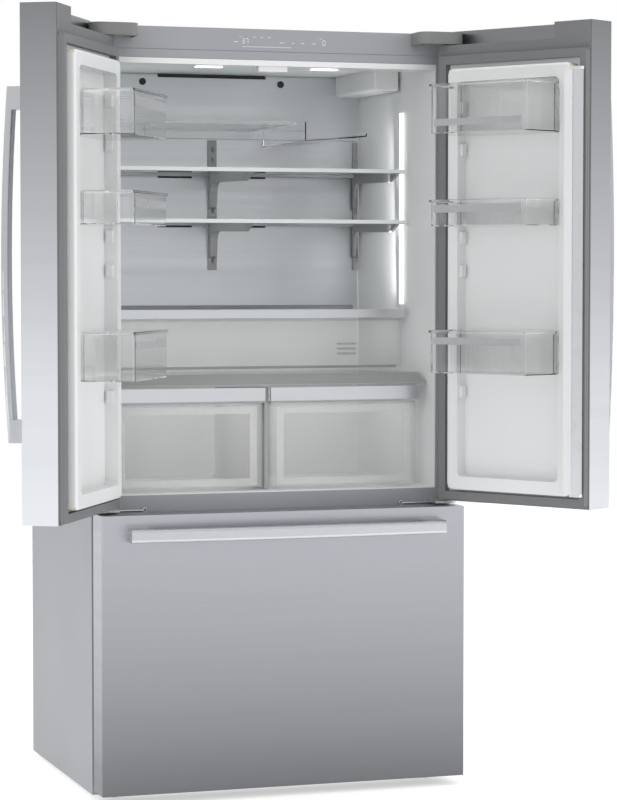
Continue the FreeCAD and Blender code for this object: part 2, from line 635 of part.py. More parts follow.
def make_door(side, k):
    """One door.  s runs from its hinge edge to its free edge, and p from its inner skin inwards."""
    def across(a, b):
        low, high = f"{a} - pivot_inset", f"{b} - pivot_inset"
        return (low, high) if k > 0 else (f"-({high})", f"-({low})")

    def inward(a, b):
        return f"skin_y + ({a})", f"skin_y + ({b})"

    def slab(name, s, p, z):
        return block(f"{side}_{name}", across(*s), inward(*p), z)

    def plate(name, s, z, p):
        return prism(f"{side}_{name}", "xz", rectangle(*across(*s), *z), *inward(*p))

    def channel(name, grow):
        return slab(name, ("-5", f"channel_run + {grow}"),
                    (f"-door_thick + channel_front - {grow}", "5"),
                    (f"channel_floor - {grow}", "door_top + 5"))

    def finish(thing, label):
        return keep(stand_at_pivot(thing, k), f"{side}_{label}")

    def pin_hole(name, z, length, radius):
        return rod(f"{side}_{name}", "z", ("0", "0", z), radius, length)

    sheet = "door_sheet"
    outside = plate("skin_outside", ("0", "door_width"), ("door_low", "door_top"),
                    ("-door_thick", "0"))
    soften(outside, "door_round", sharp("z", lambda m: m.y < number("skin_y - door_thick") + 1))

    def inside(name, back):
        room = plate(name, (sheet, f"door_width - {sheet}"),
                     (f"door_low + {sheet}", f"door_top - {sheet}"),
                     (f"-door_thick + {sheet}", back))
        soften(room, f"door_round - {sheet}",
               sharp("z", lambda m: m.y < number("skin_y - door_thick") + 2))
        return cut(f"{side}_{name}_stepped", room, channel(name + "_channel", sheet))

    hole = "pin_radius + pin_play"
    skin = cut(f"{side}_skin_body", outside, channel("skin_channel", "0"), inside("skin_hollow", "5"),
               pin_hole("skin_low_hole", "door_low - 1", 5, hole),
               pin_hole("skin_top_hole", "channel_floor - 5", 10, hole))
    finish(skin, "door_skin")

    def ring(name):
        """The core of the liner's raised frame, which the foam fills."""
        outer = plate(f"{name}_out", ("dyke_start + 3", "dyke_stop - 3"),
                      ("dyke_low + 3", "dyke_top - 3"), ("-3", "dyke_tall - 3"))
        inner = plate(f"{name}_in", ("dyke_start + dyke_wide - 3", "dyke_stop - dyke_wide + 3"),
                      ("dyke_low + dyke_wide - 3", "dyke_top - dyke_wide + 3"),
                      ("-4", "dyke_tall + 4"))
        return cut(f"{side}_{name}", outer, inner)

    foam = cut(f"{side}_foam_body",
               fuse(f"{side}_foam_full", inside("foam_room", "-2.5"), ring("foam_ring")),
               pin_hole("foam_low_hole", "door_low", "pin_length + 4", "pin_radius + 2"),
               pin_hole("foam_top_hole", "channel_floor - pin_length - 4", "pin_length + 4",
                        "pin_radius + 2"))
    finish(foam, "door_foam")

    seal_s = "seal_start + seal_wide"
    seal_e = "door_width - seal_free - 18"
    flange = plate("liner_flange", (seal_s, seal_e), ("seal_low + seal_wide", "seal_top - seal_wide"),
                   ("-2.5", "0"))
    dyke = plate("liner_dyke", ("dyke_start", "dyke_stop"), ("dyke_low", "dyke_top"),
                 ("-1", "dyke_tall"))
    soften(dyke, "16", sharp("y"))
    soften(dyke, "6", lambda e: e.CenterOfMass.y > number("skin_y + dyke_tall") - 0.1)
    recess = plate("liner_recess", ("dyke_start + dyke_wide", "dyke_stop - dyke_wide"),
                   ("dyke_low + dyke_wide", "dyke_top - dyke_wide"), ("0", "dyke_tall + 1"))
    soften(recess, "14", sharp("y"))
    lugs = []
    for i, z in enumerate(LUG_HEIGHTS):
        for j, span in enumerate((("dyke_start + dyke_wide - 1", "dyke_start + dyke_wide + 7"),
                                  ("dyke_stop - dyke_wide - 7", "dyke_stop - dyke_wide + 1"))):
            lugs.append(plate(f"liner_lug_{i}_{j}", span, (f"{z} - 14", f"{z} + 14"), ("6", "22")))
    shell = cut(f"{side}_liner_hollow", fuse(f"{side}_liner_full", flange, dyke), recess,
                ring("liner_ring"))
    finish(fuse(f"{side}_liner_body", shell, *lugs), "door_liner")

    base = cut(f"{side}_seal_frame",
               plate("seal_base_out", (sheet, f"door_width - {sheet}"),
                     (f"door_low + {sheet}", f"door_top - {sheet}"), ("-2.5", "seal_base")),
               channel("seal_channel", sheet))
    tube = plate("seal_tube", ("seal_start", "door_width - seal_free"), ("seal_low", "seal_top"),
                 ("1", "seal_thick"))
    soften(tube, "8", sharp("y"))
    middle = plate("seal_middle", (seal_s, seal_e), ("seal_low + seal_wide", "seal_top - seal_wide"),
                   ("-5", "seal_thick + 5"))
    finish(cut(f"{side}_seal_body", fuse(f"{side}_seal_full", base, tube), middle), "door_gasket")

    flanks = across("door_width - handle_inset - handle_wide / 2",
                    "door_width - handle_inset + handle_wide / 2")
    finish(bow_handle(f"{side}_handle", "z", "handle_low", flanks, "(skin_y - door_thick)"),
           "door_handle")
    make_bins(side, across, inward, finish)


def bow_handle(name, run, low, flanks, face):
    """A handle whose bar bows away from a door's face between two solid feet.

    run is the axis the bar lies along, low is its lower end, and flanks are its two sides.
    """
    aside = "z" if run == "x" else "x"
    rise = "(handle_mid_reach - handle_end_reach)"
    radius = f"((handle_length / 2) ^ 2 + {rise} ^ 2) / (2 * {rise})"
    middle = {run: f"{low} + handle_length / 2", aside: f"{flanks[0]} - 5",
              "y": f"{face} - handle_mid_reach + {radius}"}

    def length(part, shorter, wider, reach):
        """A block along the bar, shorter at both ends and wider at both flanks."""
        spans = {run: (f"{low} + {shorter}", f"{low} + handle_length - {shorter}"),
                 aside: (f"{flanks[0]} - {wider}", f"{flanks[1]} + {wider}"), "y": reach}
        return block(f"{name}_{part}", spans["x"], spans["y"], spans["z"])

    def disc(part, less):
        return rod(f"{name}_{part}", aside, (middle["x"], middle["y"], middle["z"]),
                   f"{radius} - {less}", "handle_wide + 10")

    slab = length("slab", "0", "0", (f"{face} - handle_mid_reach - 1", face))
    window = length("window", "handle_foot", "1", (f"{face} - handle_mid_reach", f"{face} + 1"))
    bow = cut(f"{name}_bow", common(f"{name}_outer", slab, disc("disc", "0")),
              common(f"{name}_opening", window, disc("inner_disc", "handle_bar")))
    return round_bar(bow, name)


def round_bar(bow, name):
    """Rounds the long bowed edges of a handle's bar."""
    doc.recompute()
    edges = []
    for i, edge in enumerate(bow.Shape.Edges, start=1):
        if edge.Curve.TypeId == "Part::GeomCircle" and edge.Length > number("handle_length") * 0.7:
            radius = 7.0 if edge.Length > number("handle_length") * 0.95 else 6.0
            edges.append((i, radius, radius))
    rounded = doc.addObject("Part::Fillet", f"{name}_rounded")
    rounded.Base = bow
    rounded.Edges = edges
    return rounded


# name, height of the floor and depth of each bin
BINS = {"left": (("top", 1549, 101), ("middle", 1352, 75), ("bottom", 1007, 109)),
        "right": (("top", 1573, 117), ("middle", 1355, 63), ("bottom", 1009, 101))}


def make_bins(side, across, inward, finish):
    """The clear bins that hang on a door's liner."""
    def plan(shrink):
        points = [("bin_start + bin_ear / 8", 3), ("bin_stop - bin_ear / 8", 3),
                  ("bin_stop - bin_ear / 8", "dyke_tall + 2"), ("bin_stop + bin_ear", "dyke_tall + 4"),
                  ("bin_stop", "bin_reach"), ("bin_start", "bin_reach"),
                  ("bin_start - bin_ear", "dyke_tall + 4"),
                  ("bin_start + bin_ear / 8", "dyke_tall + 2")]
        signs = [(1, 1), (-1, 1), (-1, 1), (-1, 1), (-1, -1), (1, -1), (1, 1), (1, 1)]
        outline = []
        for (s, p), (ds, dp) in zip(points, signs):
            s, p = f"{s} + {ds} * {shrink}", f"{p} + {dp} * {shrink}"
            outline.append((across(s, s)[0], inward(p, p)[0]))
        return outline

    shells = []
    for name, low, tall in BINS[side]:
        outer = prism(f"{side}_{name}_bin_outer", "xy", plan("0"), low, low + tall)
        soften(outer, "10", sharp("z", lambda m: m.y > number("skin_y + bin_reach - 1")))
        inner = prism(f"{side}_{name}_bin_inner", "xy", plan("bin_wall"), f"{low} + bin_wall",
                      low + tall + 5)
        soften(inner, "10 - bin_wall",
               sharp("z", lambda m: m.y > number("skin_y + bin_reach - bin_wall - 1")))
        shells.append(cut(f"{side}_{name}_bin", outer, inner))
    finish(group(f"{side}_bins", *shells), "door_bins")


def make_mullion():
    """The centre bar on the right door, folded back flat along the door's free edge at rest."""
    def across(a, b):
        return f"-({b}) + pivot_inset", f"-({a}) + pivot_inset"

    def inward(a):
        return f"skin_y + {a}"

    s0, s1 = "bar_start", "bar_start + bar_deep"
    p0, p1 = "bar_stand", "bar_stand + bar_long"
    z = ("bar_low", "bar_top")
    flat = rectangle(*across(f"{s1} - bar_face", s1), inward(p0), inward(p1))
    thick = rectangle(*across(s0, f"{s1} - bar_face - 0.05"), inward(p0), inward(p1))
    body = prism("bar_body", "xy", thick, *z)
    soften(body, "2", sharp("z", lambda m: m.x > number("pivot_inset - bar_start - bar_deep / 2")))
    pivot_x = "-bar_pivot_s + pivot_inset"
    bores = [rod(f"bar_bore_{i}", "z", (pivot_x, inward("bar_pivot_p"), start), "3 + pin_play", 22)
             for i, start in enumerate(("bar_low - 1", "bar_top - 21"))]

    def corner_waste(name):
        """What is cut away where the bar's free corner turns against the cabinet's guide."""
        square = prism(name + "_square", "xy",
                       rectangle(*across(f"{s1} - 9", f"{s1} + 1"), inward(f"{p0} - 1"),
                                 inward(f"{p0} + 9")), "bar_low - 5", "bar_top + 5")
        curve = rod(name + "_curve", "z", (f"-({s1}) + 9 + pivot_inset", inward(f"{p0} + 9"),
                                           "bar_low - 10"), 9, "bar_top - bar_low + 20")
        return cut(name, square, curve)

    keep(stand_at_pivot(cut("bar_body_cut", body, *bores, corner_waste("bar_waste")), -1),
         "mullion_bar")
    keep(stand_at_pivot(cut("bar_face_cut", prism("bar_face_strip", "xy", flat, *z),
                            corner_waste("face_waste")), -1), "mullion_face")

    brackets = []
    for i, (*gap, pin_low) in enumerate((("bar_low - 9", "bar_low - 1", "bar_low - 4"),
                                         ("bar_top + 1", "bar_top + 9", "bar_top - 16"))):
        arm = block(f"bar_arm_{i}", across("dyke_stop", "bar_pivot_s + 6"),
                    (inward("bar_pivot_p - 6"), inward("bar_pivot_p + 4")), gap)
        pin = rod(f"bar_pin_{i}", "z", (pivot_x, inward("bar_pivot_p"), pin_low), 3, 20)
        brackets.append(fuse(f"bar_bracket_{i}", arm, pin))
    keep(stand_at_pivot(group("bar_brackets", *brackets), -1), "mullion_brackets")


# ---------------------------------------------------------------- freezer drawer
def make_freezer_drawer():
    sheet = "door_sheet"
    skin_back = "front - seal_space"
    outside = prism("drawer_outside", "xz", rectangle("-half", "half", "drawer_low", "drawer_top"),
                    "drawer_front", skin_back)
    soften(outside, "door_round", sharp("z", lambda m: m.y < number("drawer_front") + 1))

    def inside(name, back):
        room = prism(name, "xz", rectangle(f"-half + {sheet}", f"half - {sheet}",
                                           f"drawer_low + {sheet}", f"drawer_top - {sheet}"),
                     f"drawer_front + {sheet}", back)
        return soften(room, f"door_round - {sheet}",
                      sharp("z", lambda m: m.y < number("drawer_front") + 2))

    def passages(name, wide):
        """Room for the two slide members beside the raised part of the drawer's liner."""
        return [block(f"{name}_passage_{i}", (f"{side} * (open_half - 17) - {wide}",
                                              f"{side} * (open_half - 17) + {wide}"),
                      (f"{skin_back}", "front + 10"),
                      (f"slide_z - {wide} + 9", f"slide_z + slide_tall + {wide} - 9"))
                for i, side in enumerate((-1, 1))]

    def core(name, low):
        """The filled inside of the drawer liner's raised part."""
        solid = prism(name, "xz", rectangle("-open_half + 16.5", "open_half - 16.5",
                                            "freezer_low + 16.5", "freezer_top - 16.5"),
                      f"{skin_back} - {low}", "front + 5.5")
        soften(solid, "12", sharp("y"))
        return cut(name + "_cut", solid, *passages(name, 15.5))

    keep(cut("drawer_skin_body", outside, inside("drawer_hollow", f"{skin_back} + 5")),
         "freezer_drawer_skin")
    keep(fuse("drawer_foam_body", inside("drawer_foam", f"{skin_back} - 2.5"),
              core("drawer_core", 4)), "freezer_drawer_foam")

    panel = prism("drawer_panel", "xz", rectangle("-open_half - 2", "open_half + 2",
                                                  "freezer_low - 8", "freezer_top + 4"),
                  f"{skin_back} - 2.5", skin_back)
    pillow = prism("drawer_pillow", "xz", rectangle("-open_half + 14", "open_half - 14",
                                                    "freezer_low + 14", "freezer_top - 14"),
                   f"{skin_back} - 1", "front + 8")
    soften(pillow, "14", sharp("y"))
    shell = fuse("drawer_liner_full", panel,
                 cut("drawer_pillow_cut", pillow, *passages("pillow", 13)))
    keep(cut("drawer_liner_body", shell, core("drawer_core_room", 5)), "freezer_drawer_liner")

    base = prism("drawer_seal_base", "xz",
                 rectangle(f"-half + {sheet}", f"half - {sheet}",
                           f"drawer_low + {sheet}", f"drawer_top - {sheet}"),
                 f"{skin_back} - 2.5", f"{skin_back} + seal_base")
    tube = prism("drawer_seal_tube", "xz",
                 rectangle("-half + seal_start", "half - seal_start",
                           "freezer_low - 28", "freezer_top + 24"),
                 f"{skin_back} + 1", f"{skin_back} + seal_thick")
    soften(tube, "8", sharp("y"))
    middle = block("drawer_seal_middle", ("-open_half - 2", "open_half + 2"),
                   (f"{skin_back} - 5", "front + 5"), ("freezer_low - 8", "freezer_top + 4"))
    keep(cut("drawer_seal_body", fuse("drawer_seal_full", base, tube), middle),
         "freezer_drawer_gasket")

    flanks = ("drawer_handle_z - handle_wide / 2", "drawer_handle_z + handle_wide / 2")
    keep(bow_handle("drawer_handle", "x", "-handle_length / 2", flanks, "drawer_front"),
         "freezer_drawer_handle")

    basket = open_pan("freezer_basket", ("-basket_half", "basket_half"),
                      ("front + 16", "front + 16 + basket_depth"),
                      ("basket_low", "basket_low + basket_tall"), "pan_wall", 24)
    keep(basket, "freezer_basket")

    def from_wall(side, near, far):
        """A span at one side of the freezer space, measured inwards from its wall."""
        if side < 0:
            return f"-open_half + {near}", f"-open_half + {far}"
        return f"open_half - ({far})", f"open_half - ({near})"

    members, rails = [], []
    for i, side in enumerate((-1, 1)):
        rails.append(block(f"rail_{i}", from_wall(side, "0", "slide_thick"),
                           ("front + 12", "front + 12 + slide_length"),
                           ("slide_z", "slide_z + slide_tall")))
        runner = block(f"runner_{i}", from_wall(side, "slide_thick + slide_play",
                                                "2 * slide_thick + slide_play"),
                       (f"{skin_back} + 0.01", "front + slide_length"),
                       ("slide_z + 3", "slide_z + slide_tall - 3"))
        shelf = block(f"runner_shelf_{i}", from_wall(side, "2 * slide_thick + slide_play - 1",
                                                     "open_half - basket_half - 0.2"),
                      ("front + 20", "front + 360"), ("slide_z + 3", "slide_z + 8"))
        members.append(fuse(f"slide_member_{i}", runner, shelf))
    keep(group("slides", *members), "freezer_drawer_slides")
    keep(group("rails", *rails), "freezer_rails")

    tray = open_pan("freezer_upper_tray", ("-tray_half", "tray_half"),
                    ("front + 18", "front + 18 + tray_depth"),
                    ("tray_low", "tray_low + tray_tall"), "pan_wall", 18)
    keep(tray, "freezer_tray")


# ---------------------------------------------------------------- cooling system and feet
def fan(name, centre, radius, thick):
    """A hub with five pitched blades, turning about Y."""
    x, y, z = centre
    blades = []
    for i in range(5):
        blade = doc.addObject("Part::Box", f"{name}_blade_{i}")
        bind(blade, {"Length": f"{radius} * 0.78", "Width": "2", "Height": f"{thick} * 1.1"})
        turn = (FreeCAD.Rotation(FreeCAD.Vector(0, 1, 0), 72 * i)
                * FreeCAD.Rotation(FreeCAD.Vector(1, 0, 0), 55))
        corner = turn.multVec(FreeCAD.Vector(radius * 0.2, -1, -thick * 0.55))
        blade.Placement.Rotation = turn
        bind(blade, {"Placement.Base.x": f"{x} + {corner.x:.4f}",
                     "Placement.Base.y": f"{y} + {corner.y:.4f}",
                     "Placement.Base.z": f"{z} + {corner.z:.4f}"})
        blades.append(blade)
    hub = rod(name + "_hub", "y", (x, f"{y} - {thick} / 2", z), f"{radius} * 0.28", thick)
    return fuse(name + "_body", hub, *blades)


def make_machine():
    can = rod("compressor_can", "z", ("150", "bay_front + 100", "base_top + 22"), 70, 120)
    dome = doc.addObject("Part::Sphere", "compressor_dome")
    bind(dome, {"Radius": "70", "Placement.Base.x": "150", "Placement.Base.y": "bay_front + 100",
                "Placement.Base.z": "base_top + 105"})
    feet = block("compressor_foot", ("70", "230"), ("bay_front + 40", "bay_front + 160"),
                 ("base_top - 25.5", "base_top + 23"))
    keep(fuse("compressor_body", can, dome, feet), "compressor")

    core = block("condenser_core", ("-330", "-80"), ("bay_front + 30", "bay_front + 90"),
                 ("base_top - 25.5", "base_top + 150"))
    gaps = [block(f"condenser_gap_{i}", (f"-326 + {i} * 12", f"-319 + {i} * 12"),
                  ("bay_front + 20", "bay_front + 82"), ("base_top + 10", "base_top + 140"))
            for i in range(20)]
    keep(cut("condenser_body", core, *gaps), "condenser")
    keep(fan("condenser_fan", ("-205", "bay_front + 125", "base_top + 90"), 70, 24), "condenser_fan")

    core = block("evaporator_core", ("-260", "260"), ("freezer_back + 30", "freezer_back + 85"),
                 ("bay_top + 70", "bay_top + 200"))
    gaps = [block(f"evaporator_gap_{i}", (f"-252 + {i} * 25", f"-235 + {i} * 25"),
                  ("freezer_back + 20", "freezer_back + 77"), ("bay_top + 80", "bay_top + 190"))
            for i in range(20)]
    keep(cut("evaporator_body", core, *gaps), "evaporator")
    keep(fan("evaporator_fan", ("0", "freezer_back + 40", "freezer_top - 130"), 60, 20),
         "evaporator_fan")

    body = block("valve_body", ("inlet_x - 25", "inlet_x + 25"), ("back - 60", "back - case_sheet"),
                 ("inlet_z - 20", "inlet_z + 20"))
    stub = rod("valve_stub", "y", ("inlet_x", "back - 10", "inlet_z"), 5.5, 26)
    keep(fuse("valve_full", body, stub), "water_valve")

    feet = []
    for i, side in enumerate((-1, 1)):
        x, y = f"{side} * foot_x", "front + foot_behind"
        pad = rod(f"foot_pad_{i}", "z", (x, y, "0"), 19, 9)
        stem = rod(f"foot_stem_{i}", "z", (x, y, "8"), 6, 26)
        feet.append(fuse(f"foot_{i}", pad, stem))
    keep(group("feet", *feet), "front_feet")

    rollers = []
    for i, side in enumerate((-1, 1)):
        y, z = "back - wheel_ahead", "wheel_radius"
        wheel = rod(f"wheel_{i}", "x", (f"{side} * wheel_x - 10", y, z), "wheel_radius", 20)
        axle = rod(f"axle_{i}", "x", (f"{side} * wheel_x - 18", y, z), 4, 36)
        rollers.append(fuse(f"roller_{i}", wheel, axle))
    keep(group("rollers", *rollers), "rear_rollers")


def check_and_write():
    """Stops on a failed or empty object, then writes one STEP file for each piece."""
    doc.recompute()
    for thing in doc.Objects:
        if "Invalid" in thing.State or "Error" in thing.State:
            raise RuntimeError(f"{thing.Name} failed: {thing.State}")
    os.makedirs("parts", exist_ok=True)
    for piece in nodes:
        shape = piece.Shape
        if shape.isNull() or not shape.isValid() or not shape.Solids:
            raise RuntimeError(f"{piece.Label} has no valid solid")
        shape.exportStep(f"parts/{piece.Label}.step")
        print(f"{piece.Label}: {len(shape.Solids)} solids, {shape.Volume / 1000:.1f} cm3")
    print(len(nodes), "pieces")


make_case()
make_insulation()
make_liners()
make_header()
make_back_wall()
panes = [make_shelf("upper_shelf", "shelf_high"), make_shelf("lower_shelf", "shelf_low"),
         make_half_shelf()]
keep(group("shelf_panes", *panes), "shelf_panes")
make_rack()
make_lamps()
make_drawer_covers()
make_pans()
make_hinges()
make_door("left", 1)
make_door("right", -1)
make_mullion()
make_freezer_drawer()
make_machine()
check_and_write()
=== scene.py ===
# %% [markdown]
# # A French door refrigerator, dressed around its frame
# The engineering model gives every panel, shelf, pan and hinge at its true size. Here each of
# them gets a finish, and the small things that a catalogue picture needs are modelled: the grey
# strips and rims of the bins, the ribs of the seals, the marks of the control panel, screws.
# The work goes in the order a studio would follow: load, measure, camera, finishes, pieces, light.

# %% Load the frame and keep its box
import json
import math
import bpy
from mathutils import Matrix, Vector


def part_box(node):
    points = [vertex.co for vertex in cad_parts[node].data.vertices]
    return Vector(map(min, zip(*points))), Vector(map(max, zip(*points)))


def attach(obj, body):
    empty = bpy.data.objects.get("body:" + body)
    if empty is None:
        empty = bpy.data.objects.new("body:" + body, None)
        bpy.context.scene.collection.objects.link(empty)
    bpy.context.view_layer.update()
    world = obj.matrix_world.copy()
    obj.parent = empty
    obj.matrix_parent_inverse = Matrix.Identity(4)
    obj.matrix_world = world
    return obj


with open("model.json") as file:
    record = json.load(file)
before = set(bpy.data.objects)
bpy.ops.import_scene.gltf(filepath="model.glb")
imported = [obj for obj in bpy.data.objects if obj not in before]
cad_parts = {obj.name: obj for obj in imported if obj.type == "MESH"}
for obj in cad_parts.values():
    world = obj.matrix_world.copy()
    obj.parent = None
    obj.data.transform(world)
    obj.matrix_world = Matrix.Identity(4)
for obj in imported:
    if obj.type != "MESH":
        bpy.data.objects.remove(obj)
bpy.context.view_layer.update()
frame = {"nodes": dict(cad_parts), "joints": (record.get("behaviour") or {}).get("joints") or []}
scene = bpy.context.scene
print("the frame has", len(frame["nodes"]), "nodes")

# %% [markdown]
# ## Places taken from the frame
# Both doors stand open in the model's rest pose, so a piece on a door would be awkward to place
# by its world coordinates. A door is easier to think of as it is built: `s` runs across it from
# the hinge edge, `p` runs inwards from the inner edge of its skin, and `z` is the height. The
# functions below give a door's own box in that way, and turn a finished piece to where the
# door stands.

# %% Door coordinates
joints = {joint["name"]: joint for joint in frame["joints"]}
OPEN_ANGLE = math.radians(-joints["left_door_hinge"]["range_deg"][0])
SIDES = {"left": 1, "right": -1}


def door_matrix(side):
    """From a door's own axes, about its hinge, to where the open door stands."""
    x, y, _ = joints[f"{side}_door_hinge"]["pos_m"]
    return Matrix.Translation((x, y, 0)) @ Matrix.Rotation(-SIDES[side] * OPEN_ANGLE, 4, "Z")


def own_box(node, side):
    """Lowest and highest corner of a node in its door's own axes."""
    back = door_matrix(side).inverted()
    points = [back @ vertex.co for vertex in frame["nodes"][node].data.vertices]
    return (Vector([min(p[i] for p in points) for i in range(3)]),
            Vector([max(p[i] for p in points) for i in range(3)]))


DOOR = {side: own_box(f"{side}_door_skin", side) for side in SIDES}
DOOR_WIDTH = DOOR["left"][1].x - DOOR["left"][0].x
DOOR_LOW, DOOR_TOP = DOOR["left"][0].z, DOOR["left"][1].z
SKIN_BACK = DOOR["left"][1].y


def on_door(side, s, p, z):
    """A point of a door in its own axes."""
    edge = DOOR[side][0].x if side == "left" else DOOR[side][1].x
    return Vector((edge + SIDES[side] * s, SKIN_BACK + p, z))


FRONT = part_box("fresh_food_liner")[0].y
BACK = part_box("back_panel")[1].y
CASE_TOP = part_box("outer_case")[1].z
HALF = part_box("outer_case")[1].x
print(f"a door is {DOOR_WIDTH:.3f} m wide, the cabinet's front is at y {FRONT:.4f} m")

# %% [markdown]
# ## Camera
# The refrigerator is seen from its left, a little below its top, with a long lens that keeps the
# uprights nearly parallel. Its place, heading, dip and lens were solved for together, from the
# cabinet's and the doors' straight edges.

# %% Camera
EYE = Vector((-1.9846, -6.4991, 1.2479))
HEADING, DIP = math.radians(18.52), math.radians(2.71)
camera_data = bpy.data.cameras.new("camera")
camera_data.sensor_width, camera_data.lens = 36, 121.76
camera = bpy.data.objects.new("camera", camera_data)
scene.collection.objects.link(camera)
camera.location = EYE
camera.rotation_euler = (math.pi / 2 - DIP, 0, -HEADING)
scene.camera = camera

# %% [markdown]
# ## Shared effects as node groups
# Brushed metal, moulded plastic and enamel all need the same few patterns: a grain that is
# stretched along one way, a slow cloud that keeps a large face from looking computed, a fine
# tooth, and a tone that falls off with height. That tone is painted in: it stands in for the dark
# ground and ceiling that steel mirrors in a studio, so it stays on the steel at every pose. Each
# is a group with named inputs that puts out only values, so that every finish can use it with its
# own numbers while the shader itself stays in the material.

# %% Node helpers
def add_node(tree, kind, values=None, **settings):
    """A node with its settings and the plain values of its inputs."""
    node = tree.nodes.new(kind)
    for name, value in settings.items():
        setattr(node, name, value)
    for name, value in (values or {}).items():
        node.inputs[name].default_value = value
    return node


def new_group(name, inputs, outputs):
    """An empty shader group with its sockets; returns the tree, its input and its output node."""
    tree = bpy.data.node_groups.new(name, "ShaderNodeTree")
    for title, (kind, value) in inputs.items():
        socket = tree.interface.new_socket(name=title, in_out="INPUT", socket_type=kind)
        if value is not None:
            socket.default_value = value
    for title in outputs:
        tree.interface.new_socket(name=title, in_out="OUTPUT", socket_type="NodeSocketFloat")
    return tree, tree.nodes.new("NodeGroupInput"), tree.nodes.new("NodeGroupOutput")


# %% Grain: a stretched noise, for brushed metal
def make_grain():
    tree, given, result = new_group(
        "brushed_grain", {"Vector": ("NodeSocketVector", None),
                          "Stretch": ("NodeSocketVector", (3.0, 3.0, 900.0))}, ("Streak", "Band"))
    stretch = add_node(tree, "ShaderNodeVectorMath", operation="MULTIPLY")
    tree.links.new(given.outputs["Vector"], stretch.inputs[0])
    tree.links.new(given.outputs["Stretch"], stretch.inputs[1])
    fine = add_node(tree, "ShaderNodeTexNoise", {"Scale": 1.0, "Detail": 3.0, "Roughness": 0.65})
    broad = add_node(tree, "ShaderNodeTexNoise", {"Scale": 0.045, "Detail": 2.0})
    for noise, name in ((fine, "Streak"), (broad, "Band")):
        tree.links.new(stretch.outputs[0], noise.inputs["Vector"])
        tree.links.new(noise.outputs["Fac"], result.inputs[name])
    return tree


# %% Cloud and tooth: slow variation and a fine moulded or sprayed surface
def make_surface():
    tree, given, result = new_group(
        "cloud_and_tooth", {"Vector": ("NodeSocketVector", None),
                            "Cloud size": ("NodeSocketFloat", 3.0),
                            "Tooth size": ("NodeSocketFloat", 900.0)}, ("Cloud", "Tooth"))
    for title, name, detail in (("Cloud size", "Cloud", 4.0), ("Tooth size", "Tooth", 2.0)):
        noise = add_node(tree, "ShaderNodeTexNoise", {"Detail": detail})
        tree.links.new(given.outputs["Vector"], noise.inputs["Vector"])
        tree.links.new(given.outputs[title], noise.inputs["Scale"])
        tree.links.new(noise.outputs["Fac"], result.inputs[name])
    return tree


# %% Height tone: a painted reflection, a value that falls off towards the floor and towards the top
FOOT_TOP, HEAD_START, HEAD_TOP = 0.70, 1.0, 1.83


def make_tone():
    tree, given, result = new_group(
        "painted_reflection_tone", {"Vector": ("NodeSocketVector", None), "Foot": ("NodeSocketFloat", 0.5),
                        "Head": ("NodeSocketFloat", 0.5)}, ("Tone",))
    split = add_node(tree, "ShaderNodeSeparateXYZ")
    rise = add_node(tree, "ShaderNodeMapRange", {"From Min": 0.0, "From Max": FOOT_TOP, "To Max": 1.0})
    fall = add_node(tree, "ShaderNodeMapRange",
                    {"From Min": HEAD_START, "From Max": HEAD_TOP, "To Min": 1.0})
    both = add_node(tree, "ShaderNodeMath", operation="MULTIPLY")
    tree.links.new(given.outputs["Vector"], split.inputs[0])
    for ramp, title, end in ((rise, "Foot", "To Min"), (fall, "Head", "To Max")):
        tree.links.new(split.outputs["Z"], ramp.inputs["Value"])
        tree.links.new(given.outputs[title], ramp.inputs[end])
        tree.links.new(ramp.outputs[0], both.inputs[0 if ramp is rise else 1])
    tree.links.new(both.outputs[0], result.inputs["Tone"])
    return tree


GRAIN, SURFACE, TONE = make_grain(), make_surface(), make_tone()

# %% [markdown]
# ## Finishes
# Four families cover nearly the whole refrigerator. *Brushed* is metal with a grain: the streaks vary
# its colour by a few percent and tip its normals, so that highlights spread across the grain.
# *Moulded* is paint or plastic: a cloud shifts its colour and gloss very slightly and a fine
# tooth breaks up the reflection. *Clear* is glass or clear plastic, which takes its look from
# refraction, with a faint tint and a slightly uneven gloss. *Milky* is plastic that is partly
# see-through and partly white. Plated steel and the lamps have a maker each.

# %% Finish makers
BUMP_DEPTH = 0.0002


def start_material(name, colour, roughness, metallic=0.0):
    material = bpy.data.materials.new(name)
    material.use_nodes = True
    material.diffuse_color = (*colour, 1)
    shader = material.node_tree.nodes["Principled BSDF"]
    shader.inputs["Base Color"].default_value = (*colour, 1)
    shader.inputs["Roughness"].default_value = roughness
    shader.inputs["Metallic"].default_value = metallic
    return material, shader


def use_group(tree, group, **values):
    """Places a shared group, fed with the piece's own coordinates."""
    node = add_node(tree, "ShaderNodeGroup", {name.replace("_", " "): value
                                             for name, value in values.items()}, node_tree=group)
    place = add_node(tree, "ShaderNodeTexCoord")
    tree.links.new(place.outputs["Object"], node.inputs["Vector"])
    return node


def vary_colour(tree, factor, shader, colour, spread):
    """The base colour runs from a little darker to a little lighter as the factor rises."""
    ramp = add_node(tree, "ShaderNodeMapRange", {"From Min": 0.25, "From Max": 0.75})
    mix = add_node(tree, "ShaderNodeMix", data_type="RGBA")
    mix.inputs[6].default_value = (*[c * (1 - spread) for c in colour], 1)
    mix.inputs[7].default_value = (*[min(1, c * (1 + spread)) for c in colour], 1)
    tree.links.new(factor, ramp.inputs["Value"])
    tree.links.new(ramp.outputs[0], mix.inputs[0])
    tree.links.new(mix.outputs[2], shader.inputs["Base Color"])
    return mix


def vary_roughness(tree, factor, shader, low, high):
    spread = add_node(tree, "ShaderNodeMapRange", {"From Min": 0.3, "From Max": 0.7, "To Min": low,
                                                   "To Max": high})
    tree.links.new(factor, spread.inputs["Value"])
    tree.links.new(spread.outputs[0], shader.inputs["Roughness"])


